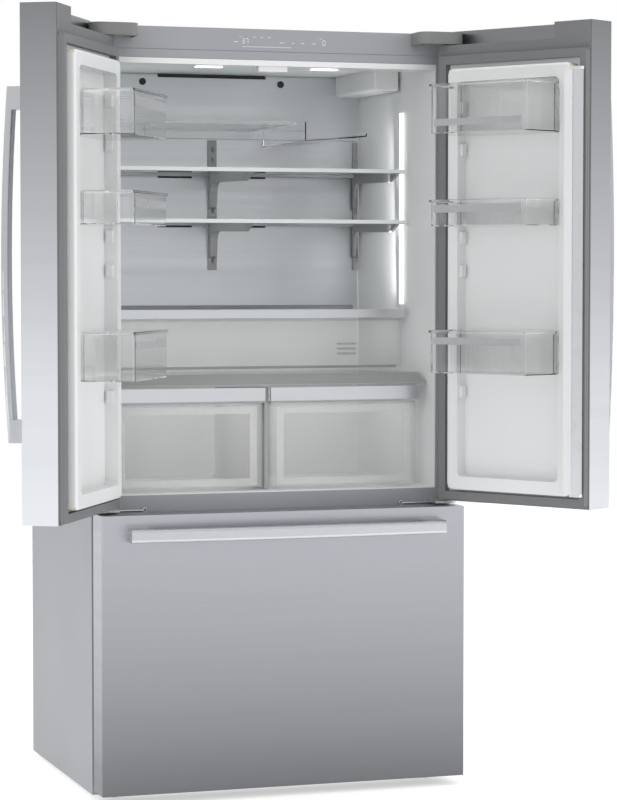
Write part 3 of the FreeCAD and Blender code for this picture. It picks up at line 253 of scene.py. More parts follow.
def add_bump(tree, height, shader, strength, distance):
    bump = add_node(tree, "ShaderNodeBump", {"Strength": strength, "Distance": distance})
    tree.links.new(height, bump.inputs["Height"])
    tree.links.new(bump.outputs["Normal"], shader.inputs["Normal"])


def paint_reflection_by_height(tree, colour, shader, foot, head):
    """The colour is darkened towards floor and top by the height tone, a painted reflection."""
    tone = use_group(tree, TONE, Foot=foot, Head=head)
    scale = add_node(tree, "ShaderNodeVectorMath", operation="SCALE")
    tree.links.new(colour, scale.inputs[0])
    tree.links.new(tone.outputs["Tone"], scale.inputs["Scale"])
    tree.links.new(scale.outputs[0], shader.inputs["Base Color"])


def brushed(name, colour, roughness, stretch, spread=0.035, strength=0.18, foot=1.0, head=1.0):
    material, shader = start_material(name, colour, roughness, metallic=1.0)
    tree = material.node_tree
    grain = use_group(tree, GRAIN, Stretch=stretch)
    mix = vary_colour(tree, grain.outputs["Streak"], shader, colour, spread)
    paint_reflection_by_height(tree, mix.outputs[2], shader, foot, head)
    vary_roughness(tree, grain.outputs["Band"], shader, roughness * 0.88, roughness * 1.12)
    add_bump(tree, grain.outputs["Streak"], shader, strength, BUMP_DEPTH)
    return material


def moulded(name, colour, roughness, spread=0.02, tooth=900.0, strength=0.06, cloud=3.0):
    material, shader = start_material(name, colour, roughness)
    tree = material.node_tree
    surface = use_group(tree, SURFACE, Cloud_size=cloud, Tooth_size=tooth)
    vary_colour(tree, surface.outputs["Cloud"], shader, colour, spread)
    vary_roughness(tree, surface.outputs["Cloud"], shader, roughness * 0.9, roughness * 1.1)
    add_bump(tree, surface.outputs["Tooth"], shader, strength, BUMP_DEPTH)
    return material


def let_light_through(tree, shader, tint):
    """Lamps shine straight through the piece, as they nearly do through thin clear walls."""
    path = add_node(tree, "ShaderNodeLightPath")
    through = add_node(tree, "ShaderNodeBsdfTransparent", {"Color": (*tint, 1)})
    mix = add_node(tree, "ShaderNodeMixShader")
    tree.links.new(path.outputs["Is Shadow Ray"], mix.inputs[0])
    tree.links.new(shader.outputs[0], mix.inputs[1])
    tree.links.new(through.outputs[0], mix.inputs[2])
    tree.links.new(mix.outputs[0], tree.nodes["Material Output"].inputs["Surface"])


def clear(name, colour, roughness, ior):
    material, shader = start_material(name, colour, roughness)
    shader.inputs["Transmission Weight"].default_value = 1.0
    shader.inputs["IOR"].default_value = ior
    tree = material.node_tree
    let_light_through(tree, shader, colour)
    surface = use_group(tree, SURFACE, Cloud_size=9.0, Tooth_size=160.0)
    vary_colour(tree, surface.outputs["Cloud"], shader, colour, 0.008)
    vary_roughness(tree, surface.outputs["Cloud"], shader, roughness * 0.7, roughness * 1.3)
    add_bump(tree, surface.outputs["Tooth"], shader, 0.015, BUMP_DEPTH)
    return material


def milky(name, colour, roughness, body):
    """Clear plastic that holds a little white, so it glows where light falls on it."""
    material, shader = start_material(name, colour, roughness)
    shader.inputs["Alpha"].default_value = body
    shader.inputs["IOR"].default_value = 1.5
    tree = material.node_tree
    surface = use_group(tree, SURFACE, Cloud_size=7.0, Tooth_size=260.0)
    vary_colour(tree, surface.outputs["Cloud"], shader, colour, 0.02)
    vary_roughness(tree, surface.outputs["Cloud"], shader, roughness * 0.8, roughness * 1.2)
    add_bump(tree, surface.outputs["Tooth"], shader, 0.02, BUMP_DEPTH)
    return material


# %% The finishes by name
LEVEL, UPRIGHT = (3.0, 3.0, 900.0), (600.0, 600.0, 3.0)
ALONG_X = (3.0, 700.0, 700.0)
FINISH = {
    # The skins and the drawer front are one steel: painted light makes the skins lighter and painted
    # shade makes the drawer darker, and head and foot are a painted reflection that darkens the skins
    # towards the top and the drawer towards the floor.
    "skin_steel_painted_light": brushed("skin_steel_painted_light", (0.80, 0.82, 0.86), 0.33, LEVEL, head=0.36),
    "drawer_steel_painted_shade": brushed("drawer_steel_painted_shade", (0.49, 0.505, 0.54), 0.33, LEVEL, foot=0.32),
    "door_handle_steel": brushed("door_handle_steel", (0.60, 0.615, 0.64), 0.26, UPRIGHT),
    "drawer_handle_steel": brushed("drawer_handle_steel", (0.60, 0.615, 0.64), 0.26, ALONG_X),
    "wall_steel": brushed("wall_steel", (0.70, 0.72, 0.75), 0.36, LEVEL),
    "silver_trim": brushed("silver_trim", (0.70, 0.72, 0.75), 0.30, ALONG_X, strength=0.1),
    "case_enamel": moulded("case_enamel", (0.30, 0.31, 0.335), 0.42, tooth=600.0, strength=0.12),
    "liner_white": moulded("liner_white", (0.72, 0.725, 0.73), 0.32),
    "edge_grey": moulded("edge_grey", (0.21, 0.215, 0.225), 0.50, spread=0.04),
    "seal_rubber": moulded("seal_rubber", (0.17, 0.175, 0.18), 0.62, spread=0.05, strength=0.15),
    "foam_cream": moulded("foam_cream", (0.72, 0.66, 0.45), 0.9, spread=0.08, tooth=350.0,
                          strength=0.6),
    "bin_clear": clear("bin_clear", (0.994, 0.997, 0.997), 0.02, 1.45),
    "pan_clear": milky("pan_clear", (0.84, 0.845, 0.84), 0.14, 0.17),
    "shelf_glass": clear("shelf_glass", (0.94, 0.975, 0.97), 0.02, 1.50),
    "edge_clear": milky("edge_clear", (0.70, 0.73, 0.72), 0.10, 0.45),
    # pale and nearly opaque: a painted highlight for the light that leaves a glass edge
    "painted_highlight_edge": milky("painted_highlight_edge", (0.88, 0.92, 0.92), 0.12, 0.80),
    "bracket_grey": moulded("bracket_grey", (0.24, 0.245, 0.25), 0.42, spread=0.05, tooth=500.0),
    "dark_plastic": moulded("dark_plastic", (0.018, 0.019, 0.021), 0.5, spread=0.2),
    "rail_grey": moulded("rail_grey", (0.33, 0.335, 0.335), 0.38),
    "header_grey": moulded("header_grey", (0.30, 0.31, 0.33), 0.35, spread=0.03),
    "cover_grey": moulded("cover_grey", (0.20, 0.205, 0.205), 0.5, spread=0.04),
    "mark_white": moulded("mark_white", (0.80, 0.81, 0.82), 0.4),
    "black_enamel": moulded("black_enamel", (0.02, 0.02, 0.022), 0.35, spread=0.1, tooth=500.0),
}


def zinc(name, colour, roughness):
    """Plated steel, with the faint spangle that zinc leaves."""
    material, shader = start_material(name, colour, roughness, metallic=1.0)
    tree = material.node_tree
    surface = use_group(tree, SURFACE, Cloud_size=14.0, Tooth_size=120.0)
    vary_colour(tree, surface.outputs["Tooth"], shader, colour, 0.12)
    vary_roughness(tree, surface.outputs["Cloud"], shader, roughness * 0.8, roughness * 1.25)
    return material


FINISH["zinc_plate"] = zinc("zinc_plate", (0.62, 0.63, 0.62), 0.38)
FINISH["coil_aluminium"] = zinc("coil_aluminium", (0.72, 0.73, 0.73), 0.45)
LENS_WHITE = (0.95, 0.95, 0.94)


def lamp(name, strength):
    """A frosted lens with light behind it."""
    material, shader = start_material(name, LENS_WHITE, 0.5)
    tree = material.node_tree
    surface = use_group(tree, SURFACE, Cloud_size=30.0, Tooth_size=700.0)
    vary_colour(tree, surface.outputs["Cloud"], shader, LENS_WHITE, 0.02)
    shader.inputs["Emission Color"].default_value = (1.0, 0.99, 0.97, 1)
    shader.inputs["Emission Strength"].default_value = strength
    return material


FINISH["lamp_lens"] = lamp("lamp_lens", 1.5)
print(len(FINISH), "finishes")

# %% [markdown]
# ## Dressing the frame
# Each node of the frame keeps its mesh and gets a finish in its material slot. A table from
# finish to nodes is the shortest way to say it, and it shows at a glance what is made of what.

# %% Give every node its finish
DRESS = {
    "skin_steel_painted_light": ("left_door_skin", "right_door_skin"),
    "drawer_steel_painted_shade": ("freezer_drawer_skin",),
    "door_handle_steel": ("left_door_handle", "right_door_handle"),
    "drawer_handle_steel": ("freezer_drawer_handle",),
    "wall_steel": ("rear_wall_panels",),
    "silver_trim": ("deli_cover_trim", "left_crisper_grip", "right_crisper_grip", "mullion_face"),
    "case_enamel": ("outer_case", "back_panel"),
    "liner_white": ("fresh_food_liner", "freezer_liner", "mullion_guide", "filter_housing",
                    "left_door_liner", "right_door_liner", "mullion_bar", "mullion_brackets",
                    "freezer_drawer_liner"),
    "seal_rubber": ("left_door_gasket", "right_door_gasket", "freezer_drawer_gasket"),
    "foam_cream": ("cabinet_foam", "left_door_foam", "right_door_foam", "freezer_drawer_foam"),
    "bin_clear": ("left_door_bins", "right_door_bins", "bottle_rack"),
    "pan_clear": ("deli_drawer_pan", "left_crisper_pan", "right_crisper_pan", "freezer_basket",
                  "freezer_tray"),
    "shelf_glass": ("shelf_panes", "drawer_cover_panes"),
    "edge_clear": ("half_shelf_frame",),
    "bracket_grey": ("shelf_tracks", "upper_shelf_frame", "lower_shelf_frame"),
    "dark_plastic": ("vent_inserts", "front_feet", "rear_rollers", "condenser_fan",
                     "evaporator_fan", "water_valve"),
    "rail_grey": ("crisper_frame",),
    "header_grey": ("control_header",),
    "cover_grey": ("hinge_covers",),
    "black_enamel": ("compressor",),
    "zinc_plate": ("base_frame", "door_hinges", "freezer_rails", "freezer_drawer_slides"),
    "coil_aluminium": ("condenser", "evaporator"),
    "lamp_lens": ("led_lamps",),
}
dressed = {node for names in DRESS.values() for node in names}
assert dressed == set(frame["nodes"]), dressed ^ set(frame["nodes"])
for finish, names in DRESS.items():
    for name in names:
        slots = frame["nodes"][name].data.materials
        slots.clear()
        slots.append(FINISH[finish])
print(len(dressed), "nodes dressed")

# %% [markdown]
# ## Modelling helpers
# New pieces start as a primitive at their size and place. Faces are picked by where they are or
# which way they look, then inset, extruded and bevelled, as one would by hand. When a piece is
# done its transform is applied, it is shaded smooth up to an angle, and it is given to the body
# that carries it.

# %% Helpers for modelling
def deselect():
    if bpy.context.object and bpy.context.object.mode != "OBJECT":
        bpy.ops.object.mode_set(mode="OBJECT")
    bpy.ops.object.select_all(action="DESELECT")


def start_box(name, corner, other):
    """A box between two opposite corners, as the active piece."""
    deselect()
    low = Vector(map(min, corner, other))
    high = Vector(map(max, corner, other))
    bpy.ops.mesh.primitive_cube_add(size=1, location=(low + high) / 2)
    piece = bpy.context.object
    piece.name = name
    piece.scale = high - low
    bpy.ops.object.transform_apply(location=True, rotation=True, scale=True)
    return piece


def pick_faces(piece, test):
    """Enters edit mode with only the faces selected whose middle and normal pass the test."""
    bpy.ops.object.mode_set(mode="EDIT")
    bpy.ops.mesh.select_mode(type="FACE")
    bpy.ops.mesh.select_all(action="DESELECT")
    bpy.ops.object.mode_set(mode="OBJECT")
    for face in piece.data.polygons:
        face.select = test(face.center, face.normal)
    bpy.ops.object.mode_set(mode="EDIT")


def press(inset, depth):
    """Insets the picked faces and moves the middle along their normal."""
    bpy.ops.mesh.inset(thickness=inset)
    bpy.ops.transform.shrink_fatten(value=depth)


def modify(piece, kind, **settings):
    """Adds a modifier and applies it."""
    bpy.ops.object.mode_set(mode="OBJECT")
    modifier = piece.modifiers.new(kind.title(), kind)
    for name, value in settings.items():
        setattr(modifier, name, value)
    bpy.ops.object.modifier_apply(modifier=modifier.name)


def soften(piece, width, segments=3):
    modify(piece, "BEVEL", width=width, segments=segments, limit_method="ANGLE",
           angle_limit=math.radians(40))


def complete(piece, finish, body, side=None):
    """Shades, dresses and mounts a piece; one that was drawn on a door is turned with it."""
    if bpy.context.object.mode != "OBJECT":
        bpy.ops.object.mode_set(mode="OBJECT")
    bpy.ops.object.select_all(action="DESELECT")
    piece.select_set(True)
    bpy.context.view_layer.objects.active = piece
    if side:
        piece.matrix_world = door_matrix(side)
        bpy.ops.object.transform_apply(location=True, rotation=True, scale=True)
    bpy.ops.object.shade_smooth_by_angle(angle=math.radians(35))
    piece.data.materials.clear()
    piece.data.materials.append(FINISH[finish])
    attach(piece, body)
    return piece


# %% [markdown]
# ## Strips and rims of the door bins
# Every bin carries a satin grey strip across its front, with a shallow hollow that catches the
# light, and its clear wall ends in a thicker rolled rim. The strip is a box whose front face is
# inset and pressed in. The rim is a ribbon: one upright face pulled along the three sides of
# the bin, then given its thickness.

# %% Bin strips and rims
BIN_EAR, BIN_WALL = 0.012, 0.0025
STRIP_PROUD, STRIP_MARGIN = 0.0015, 0.012
# floor and rim of each bin, then foot and head of its strip, as heights in metres
BINS = {"left": {"top": (1.549, 1.650, 1.611, 1.633), "middle": (1.352, 1.427, 1.390, 1.408),
                 "bottom": (1.007, 1.116, 1.077, 1.094)},
        "right": {"top": (1.573, 1.690, 1.591, 1.607), "middle": (1.355, 1.418, 1.387, 1.406),
                  "bottom": (1.009, 1.110, 1.077, 1.094)}}


def bin_reach(side):
    """Where a bin's front starts and stops across the door, and how far it stands in."""
    low, high = own_box(f"{side}_door_bins", side)
    edge = on_door(side, 0, 0, 0).x
    across = sorted((abs(low.x - edge), abs(high.x - edge)))
    return across[0] + BIN_EAR, across[1] - BIN_EAR, high.y - SKIN_BACK


def make_strip(side, level):
    start, stop, reach = bin_reach(side)
    foot, head = BINS[side][level][2:]
    piece = start_box(f"{side}_{level}_bin_strip", on_door(side, start + STRIP_MARGIN, reach, foot),
                      on_door(side, stop - STRIP_MARGIN, reach + STRIP_PROUD, head))
    pick_faces(piece, lambda middle, normal: normal.y > 0.9)
    press(0.0022, -0.0006)
    soften(piece, 0.0004)
    return complete(piece, "strip_grey", f"{side}_door", side)


def make_rim(side, level):
    start, stop, reach = bin_reach(side)
    top = BINS[side][level][1]
    depth, inner, ear = 0.006, 0.040, BIN_EAR * 0.9
    deselect()
    bpy.ops.mesh.primitive_plane_add(size=1)
    piece = bpy.context.object
    piece.name = f"{side}_{level}_bin_rim"
    corners = [on_door(side, start - ear, inner, top - depth),
               on_door(side, start, reach, top - depth),
               on_door(side, start - ear, inner, top), on_door(side, start, reach, top)]
    for vertex, corner in zip(piece.data.vertices, corners):
        vertex.co = corner
    ways = (on_door(side, stop, reach, 0) - on_door(side, start, reach, 0),
            on_door(side, stop + ear, inner, 0) - on_door(side, stop, reach, 0))
    bpy.ops.object.mode_set(mode="EDIT")
    bpy.ops.mesh.select_mode(type="EDGE")
    bpy.ops.mesh.select_all(action="DESELECT")
    bpy.ops.object.mode_set(mode="OBJECT")
    ends = {1, 3}
    for edge in piece.data.edges:
        edge.select = set(edge.vertices) == ends
    bpy.ops.object.mode_set(mode="EDIT")
    for way in ways:
        bpy.ops.mesh.extrude_region_move(TRANSFORM_OT_translate={"value": way})
    bpy.ops.mesh.select_all(action="SELECT")
    bpy.ops.mesh.normals_make_consistent(inside=False)
    modify(piece, "SOLIDIFY", thickness=0.0042, offset=0, use_even_offset=True)
    soften(piece, 0.0012, 2)
    return complete(piece, "bin_clear", f"{side}_door", side)


FINISH["strip_grey"] = moulded("strip_grey", (0.36, 0.37, 0.385), 0.28, spread=0.03)
for side in SIDES:
    for level in BINS[side]:
        make_strip(side, level)
        make_rim(side, level)

# %% [markdown]
# ## Bright edges of the shelves
# Seen from the front a glass shelf is a thin bright line, because light that enters the pane
# leaves it at its edge. The frame's nose holds a clear moulded strip whose bright line is a painted
# highlight: a pale, nearly opaque finish. It is a flat bar with its face pressed in, as wide as the
# frame.

# %% Shelf edge strips
for level in ("upper", "lower"):
    low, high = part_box(f"{level}_shelf_frame")
    nose_top = high.z - 0.0035
    strip = start_box(f"{level}_shelf_edge", (low.x + 0.001, low.y - 0.0012, nose_top - 0.0095),
                      (high.x - 0.001, low.y - 0.0001, nose_top))
    pick_faces(strip, lambda middle, normal: normal.y < -0.9)
    press(0.0018, -0.0004)
    soften(strip, 0.0004, 2)
    complete(strip, "painted_highlight_edge", "cabinet")

# %% [markdown]
# ## Frame and seal of the doors
# Between the steel skin and the white liner lies a grey frame, and on it the seal. Its rib is
# modelled as a ring: the front and back of a plate are inset and bridged, which opens the middle,
# and the rib's face is inset once more and bevelled.

# %% Seal ribs
SEAL_START, SEAL_END = 0.016, 0.0025
SEAL_LOW, SEAL_TOP_DROP = 0.698, 0.066
RIB_SPREAD, RIB_BACK, RIB_FACE, RIB_WIDTH = 0.0015, 0.0065, 0.011, 0.0035


def make_ring(name, low, high, width):
    """A square ring in a plane of constant y, from low.y to high.y."""
    piece = start_box(name, low, high)
    pick_faces(piece, lambda middle, normal: abs(normal.y) > 0.9)
    bpy.ops.mesh.inset(thickness=width)
    bpy.ops.mesh.bridge_edge_loops()
    pick_faces(piece, lambda middle, normal: normal.y > 0.9)
    bpy.ops.mesh.inset(thickness=width * 0.28)
    return piece


for side in SIDES:
    rib = make_ring(f"{side}_seal_rib",
                    on_door(side, SEAL_START - RIB_SPREAD, RIB_BACK, SEAL_LOW - RIB_SPREAD),
                    on_door(side, DOOR_WIDTH - SEAL_END + 0.001, RIB_FACE,
                            DOOR_TOP - SEAL_TOP_DROP + RIB_SPREAD), RIB_WIDTH)
    soften(rib, 0.0009, 2)
    complete(rib, "seal_rubber", f"{side}_door", side)

# %% [markdown]
# ## The control header
# A touch strip is flush glass or painted metal with printed marks. The marks here are the plain
# ones such a strip has: two temperatures in seven-bar figures, short dashes for the functions and
# a long line under them. They are flat bars a fifth of a millimetre proud, because a printed
# pattern in a material would be tied to one texture size.

# %% Marks on the header
MARK_PROUD = 0.0002
HEADER_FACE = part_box("control_header")[0].y
SEGMENTS = {"0": "abcdef", "3": "abcdg", "7": "abc"}


def mark_bar(name, x, z, width, height):
    """One printed bar, its middle at x and z."""
    piece = start_box(name, (x - width / 2, HEADER_FACE - MARK_PROUD, z - height / 2),
                      (x + width / 2, HEADER_FACE + 0.0005, z + height / 2))
    pick_faces(piece, lambda middle, normal: normal.y < -0.9)
    press(min(width, height) * 0.2, 0.00005)
    bpy.ops.object.mode_set(mode="OBJECT")
    return piece


def figure(digit, x, z, size):
    """A seven-bar figure, as a list of bars."""
    wide, thin = size * 0.55, size * 0.1
    spots = {"a": (0, 1, True), "b": (0.5, 0.5, False), "c": (0.5, -0.5, False), "d": (0, -1, True),
             "e": (-0.5, -0.5, False), "f": (-0.5, 0.5, False), "g": (0, 0, True)}
    bars = []
    for letter in SEGMENTS[digit]:
        dx, dz, level = spots[letter]
        size_x, size_z = (wide * 0.8, thin) if level else (thin, size * 0.42)
        bars.append(mark_bar(f"bar_{letter}", x + dx * wide, z + dz * size / 2, size_x, size_z))
    return bars


def join(pieces, name):
    deselect()
    for piece in pieces:
        piece.select_set(True)
    bpy.context.view_layer.objects.active = pieces[0]
    if len(pieces) > 1:
        bpy.ops.object.join()
    pieces[0].name = name
    return pieces[0]


marks = figure("3", -0.077, 1.797, 0.011) + figure("7", -0.068, 1.797, 0.011)
marks += figure("0", 0.126, 1.797, 0.011)
for x, width in ((-0.095, 0.010), (0.020, 0.012), (0.048, 0.006), (0.072, 0.008), (0.100, 0.009)):
    marks.append(mark_bar("dash", x, 1.7945, width, 0.0011))
for x in (-0.083, -0.048, -0.030, -0.012, 0.118):
    marks.append(mark_bar("small_dash", x, 1.8065, 0.007, 0.0008))
marks.append(mark_bar("long_line", -0.018, 1.7835, 0.122, 0.0008))
complete(join(marks, "header_marks"), "mark_white", "cabinet")

# %% [markdown]
# ## Slots, screws and links
# Small slots tell the eye how thick a moulding is. They are shallow trays with a rounded lip,
# whose dark colour is painted shade for the depth of the opening. A screw is a short disc with
# its rim bevelled and a six-sided socket pressed in; it is modelled once, and every other one is a
# copy with its own mesh.

# %% Slots in the liner and the crisper cover
LINER_BACK = FRONT + 0.529
CRISPER_NOSE = FRONT + 0.040
SLOPE = math.atan2(0.023, 0.052)
AIR_SLOT_LEFT, AIR_SLOT_RIGHT, AIR_SLOT_TALL = 0.342, 0.396, 0.0055
DASH_COUNT, DASH_START, DASH_STEP, DASH_HALF = 34, -0.363, 0.022, 0.0065


def make_slot(name, corner, other, look):
    """A slot with painted shade: a thin tray whose seen face, looking along `look`, is pressed in."""
    piece = start_box(name, corner, other)
    pick_faces(piece, lambda middle, normal: normal.dot(Vector(look)) > 0.9)
    press(0.0006, -0.0003)
    soften(piece, 0.0003, 2)
    return piece


# three air slots in the liner's back wall, dark as painted shade
rear = [make_slot(f"rear_slot_{i}", (AIR_SLOT_LEFT, LINER_BACK - 0.0006, z),
                  (AIR_SLOT_RIGHT, LINER_BACK, z + AIR_SLOT_TALL), (0, -1, 0))
        for i, z in enumerate((1.031, 1.044, 1.057))]
complete(join(rear, "deli_air_slots"), "dark_plastic", "cabinet")

# a dark grey strip along the rear edge of the deli cover
pane_low, pane_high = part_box("drawer_cover_panes")
seal = start_box("deli_rear_dark_strip", (pane_low.x + 0.02, pane_high.y - 0.007, pane_high.z),
                 (pane_high.x - 0.02, pane_high.y - 0.001, pane_high.z + 0.0065))
pick_faces(seal, lambda middle, normal: normal.y < -0.9)
press(0.0015, -0.0012)
soften(seal, 0.0006, 2)
complete(seal, "edge_grey", "cabinet")

# slots across the crisper cover, a darker grey as painted shade
dashes = []
dash_place = Vector((0, CRISPER_NOSE + 0.044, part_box("crisper_frame")[1].z - 0.0036))
for i in range(DASH_COUNT):
    x = DASH_START + i * DASH_STEP
    dash = make_slot(f"cover_dash_{i}", (x - DASH_HALF, -0.0011, 0), (x + DASH_HALF, 0.0011, 0.0003),
                     (0, 0, 1))
    dash.matrix_world = Matrix.Translation(dash_place) @ Matrix.Rotation(SLOPE, 4, "X")
    bpy.ops.object.transform_apply(location=True, rotation=True, scale=True)
    dashes.append(dash)
complete(join(dashes, "crisper_cover_slots"), "bracket_grey", "cabinet")


# %% Screws, modelled once
def screw_master(radius):
    deselect()
    bpy.ops.mesh.primitive_cylinder_add(vertices=20, radius=radius, depth=radius * 0.5)
    piece = bpy.context.object
    piece.name = "screw"
    pick_faces(piece, lambda middle, normal: normal.z > 0.9)
    bpy.ops.mesh.inset(thickness=radius * 0.45)
    bpy.ops.mesh.extrude_region_move(TRANSFORM_OT_translate={"value": (0, 0, -radius * 0.28)})
    soften(piece, radius * 0.14, 2)
    return piece


def screws(name, places, look, radius, body, finish="zinc_plate"):
    """Copies of one screw at these places, with heads that look along a direction."""
    master = screw_master(radius)
    turn = Vector(look).to_track_quat("Z", "Y").to_matrix().to_4x4()
    copies = []
    for place in places:
        copy = master.copy()
        copy.data = master.data.copy()
        scene.collection.objects.link(copy)
        copy.data.transform(Matrix.Translation(place) @ turn)
        copies.append(copy)
    bpy.data.objects.remove(master)
    return complete(join(copies, name), finish, body)


edge = HALF - 0.012
back_places = [(side * edge, BACK - 0.0002, 0.06 + i * 0.245) for side in (-1, 1) for i in range(8)]
back_places += [(x * 0.2, BACK - 0.0002, z) for x in (-1, 0, 1)
                for z in (0.035, 0.245, CASE_TOP - 0.02)]
screws("back_screws", back_places, (0, 1, 0), 0.004, "cabinet")
cover_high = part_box("hinge_covers")[1]
cover_places = [(side * x, FRONT - 0.020, cover_high.z) for side in (-1, 1) for x in (0.375, 0.425)]
screws("hinge_cover_screws", cover_places, (0, 0, 1), 0.0035, "cabinet", "cover_grey")


# %% [markdown]
# ## Door closer links
# Beside each lower hinge a short bright link lies along the rail, with a round eye at its free
# end. The rod is a slim cylinder that is stretched, and the eye is a ring.

# %% Lower hinge links
LINK_HEIGHT, LINK_RADIUS, LINK_PROUD = 0.6842, 0.0026, 0.0045
LINK_INNER, LINK_OUTER = 0.324, 0.418
for side, k in SIDES.items():
    middle = (-k * (LINK_INNER + LINK_OUTER) / 2, FRONT - LINK_PROUD, LINK_HEIGHT)
    deselect()
    bpy.ops.mesh.primitive_cylinder_add(vertices=20, radius=LINK_RADIUS,
                                        depth=LINK_OUTER - LINK_INNER, location=middle,
                                        rotation=(0, math.pi / 2, 0))
    rod = bpy.context.object
    bpy.ops.object.transform_apply(location=True, rotation=True, scale=True)
    pick_faces(rod, lambda middle, normal: abs(normal.x) > 0.9)
    bpy.ops.mesh.inset(thickness=LINK_RADIUS * 0.4)
    soften(rod, 0.0006, 2)
    deselect()
    bpy.ops.mesh.primitive_torus_add(location=(-k * LINK_INNER, FRONT - LINK_PROUD,
                                               LINK_HEIGHT + 0.0005),
                                     rotation=(math.pi / 2, 0, 0), major_segments=28,
                                     minor_segments=12, major_radius=0.0048,
                                     minor_radius=0.0022)
    eye = bpy.context.object
    bpy.ops.object.transform_apply(location=True, rotation=True, scale=True)
    complete(join([rod, eye], f"{side}_closer_link"), "zinc_plate", "cabinet")

# %% [markdown]
# ## Rims of the pans
# A moulded pan ends in a folded lip, which shows as a bright line round its top. The lip is a
# ring that follows the pan's outline, drawn from the pan's own box.

# %% Pan rims
# each pan's body, and the radius of its corners
RIMS = {"deli_drawer_pan": ("deli_drawer", 0.014), "left_crisper_pan": ("left_crisper", 0.016),
        "right_crisper_pan": ("right_crisper", 0.016), "freezer_basket": ("freezer_drawer", 0.024),
        "freezer_tray": ("freezer_tray", 0.018)}


def make_pan_rim(node, body, corner):
    low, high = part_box(node)
    wall, drop = 0.0042, 0.006
    piece = start_box(f"{node}_rim", (low.x, low.y, high.z - drop), high)
    pick_faces(piece, lambda middle, normal: abs(normal.z) > 0.9)
    bpy.ops.mesh.delete(type="FACE")
    bpy.ops.mesh.select_mode(type="EDGE")
    bpy.ops.mesh.select_all(action="DESELECT")
    bpy.ops.object.mode_set(mode="OBJECT")
    for edge in piece.data.edges:
        start, end = (piece.data.vertices[i].co for i in edge.vertices)
        edge.select = abs(start.z - end.z) > drop / 2
    bpy.ops.object.mode_set(mode="EDIT")
    bpy.ops.mesh.bevel(offset=corner, segments=6)
    modify(piece, "SOLIDIFY", thickness=wall, offset=-1)
    soften(piece, 0.0011, 2)
    return complete(piece, "pan_clear", body)


for node, (body, corner) in RIMS.items():
    make_pan_rim(node, body, corner)

# %% [markdown]
# ## Fronts of the crispers and the deli pan
# The front wall of a crisper is thicker towards its edges, which shows as a paler band round a
# clearer window, with a rounded corner at each turn. The deli pan has a dark grey foot bar along
# its lower edge. The bands are plates just behind the outer face, with the middle opened; the
# foot is a bar just behind it.

# %% Front bands
def make_front_band(node, body, band):
    """A flat frame inside a pan's front wall, open in the middle."""
    low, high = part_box(node)
    piece = start_box(f"{node}_band", (low.x + 0.018, low.y + 0.0032, low.z + 0.006),
                      (high.x - 0.018, low.y + 0.0044, high.z - 0.008))
    pick_faces(piece, lambda middle, normal: abs(normal.y) > 0.9)
    bpy.ops.mesh.inset(thickness=band)
    bpy.ops.mesh.bridge_edge_loops()
    bpy.ops.object.mode_set(mode="OBJECT")
    soften(piece, 0.0004, 2)
    return complete(piece, "band_milky", body)


FINISH["band_milky"] = milky("band_milky", (0.88, 0.885, 0.88), 0.2, 0.30)
for side in SIDES:
    make_front_band(f"{side}_crisper_pan", f"{side}_crisper", 0.018)
low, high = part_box("deli_drawer_pan")
foot = start_box("deli_pan_foot", (low.x + 0.016, low.y + 0.0032, low.z + 0.0032),
                 (high.x - 0.016, low.y + 0.0072, low.z + 0.0092))
pick_faces(foot, lambda middle, normal: normal.z > 0.9)
press(0.001, 0.0008)
soften(foot, 0.0006, 2)
complete(foot, "edge_grey", "deli_drawer")

# %% [markdown]
# ## Floor and light
# A flat pale floor reaches back towards the backdrop. The light is what a packshot uses: a broad
# softbox high on the left, a weaker one on the right, an overhead panel, and an even surround
# that darkens towards the ground; brushed steel shades from light to dark down its height partly
# from that surround and partly from the reflection painted into the steel.

# %% Floor
deselect()
bpy.ops.mesh.primitive_plane_add(size=1, location=(0, 1.0, 0))
floor = bpy.context.object
floor.name = "floor"
floor.scale = (16, 12, 1)
bpy.ops.object.transform_apply(location=True, rotation=True, scale=True)
FINISH["floor_pale"] = moulded("floor_pale", (0.86, 0.86, 0.86), 0.7, spread=0.004, tooth=40.0,
                               strength=0.0)
glow = FINISH["floor_pale"].node_tree.nodes["Principled BSDF"]
glow.inputs["Emission Color"].default_value = (1, 1, 1, 1)
glow.inputs["Emission Strength"].default_value = 0.45
floor.data.materials.append(FINISH["floor_pale"])


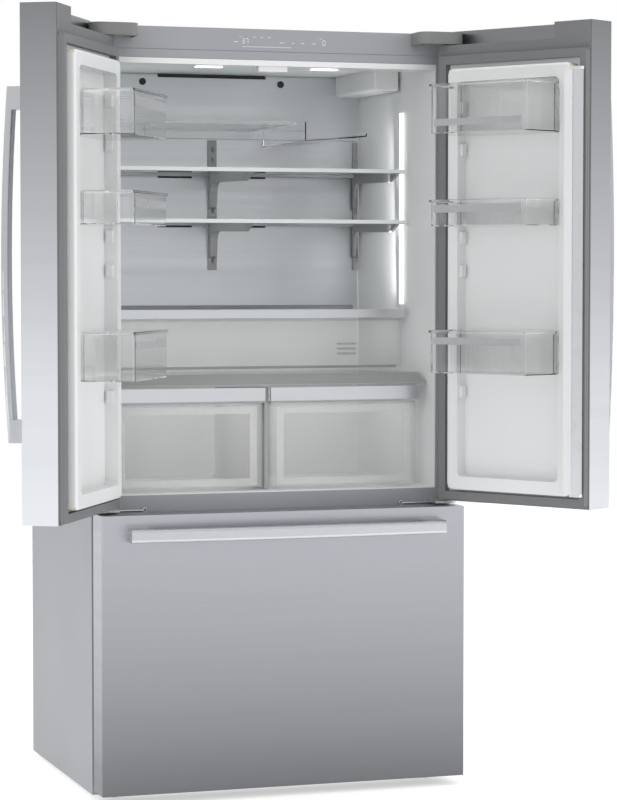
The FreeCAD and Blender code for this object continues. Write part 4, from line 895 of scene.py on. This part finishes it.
# %% Lights
def softbox(name, place, aim, size, power):
    """A rectangular lamp that looks from its place to its aim, and that metal doesn't mirror."""
    data = bpy.data.lights.new(name, "AREA")
    data.shape, data.size, data.size_y = "RECTANGLE", size[0], size[1]
    data.energy = power
    light = bpy.data.objects.new(name, data)
    scene.collection.objects.link(light)
    light.location = place
    light.rotation_euler = (Vector(aim) - Vector(place)).to_track_quat("-Z", "Y").to_euler()
    light.visible_glossy = False
    return light


softbox("key_left", (-3.4, -4.2, 2.2), (0, 0, 1.0), (2.4, 2.4), 30)
softbox("fill_right", (3.4, -3.6, 1.9), (0, 0, 1.0), (2.2, 2.4), 55)
softbox("overhead", (0, -0.6, 4.2), (0, 0, 0.6), (3.0, 2.4), 22)

# small lamps inside, hidden from view: beside each strip, under the deli cover and over the pans
lamp_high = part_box("led_lamps")[1]
deli_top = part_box("drawer_cover_panes")[1].z
inside = []
for k in (-1, 1):
    inside.append(softbox(f"strip_light_{k}", (k * (lamp_high.x - 0.022), lamp_high.y + 0.02, 1.40),
                          (-k * 0.1, BACK, 1.38), (0.03, 0.42), 1.15))
inside.append(softbox("deli_light", (0, FRONT + 0.33, deli_top - 0.012), (0, FRONT + 0.33, 0),
                      (0.70, 0.22), 0.50))
inside.append(softbox("crisper_light", (0, FRONT + 0.24, 0.945), (0, FRONT + 0.24, 0),
                      (0.72, 0.30), 0.95))
for hidden in inside:
    hidden.visible_camera = hidden.visible_transmission = False

world = bpy.data.worlds.new("studio")
scene.world = world
world.use_nodes = True
tree = world.node_tree
surround = tree.nodes["Background"]
place = add_node(tree, "ShaderNodeTexCoord")
split = add_node(tree, "ShaderNodeSeparateXYZ")
ramp = add_node(tree, "ShaderNodeMapRange",
                {"From Min": -0.5, "From Max": 0.15, "To Min": 0.42, "To Max": 0.86})
path = add_node(tree, "ShaderNodeLightPath")
backdrop = add_node(tree, "ShaderNodeMath", operation="MAXIMUM")
tree.links.new(place.outputs["Generated"], split.inputs[0])
tree.links.new(split.outputs["Z"], ramp.inputs["Value"])
tree.links.new(ramp.outputs[0], backdrop.inputs[0])
tree.links.new(path.outputs["Is Camera Ray"], backdrop.inputs[1])
tree.links.new(backdrop.outputs[0], surround.inputs["Strength"])
surround.inputs["Color"].default_value = (1, 1, 1, 1)
scene.view_settings.view_transform = "Standard"
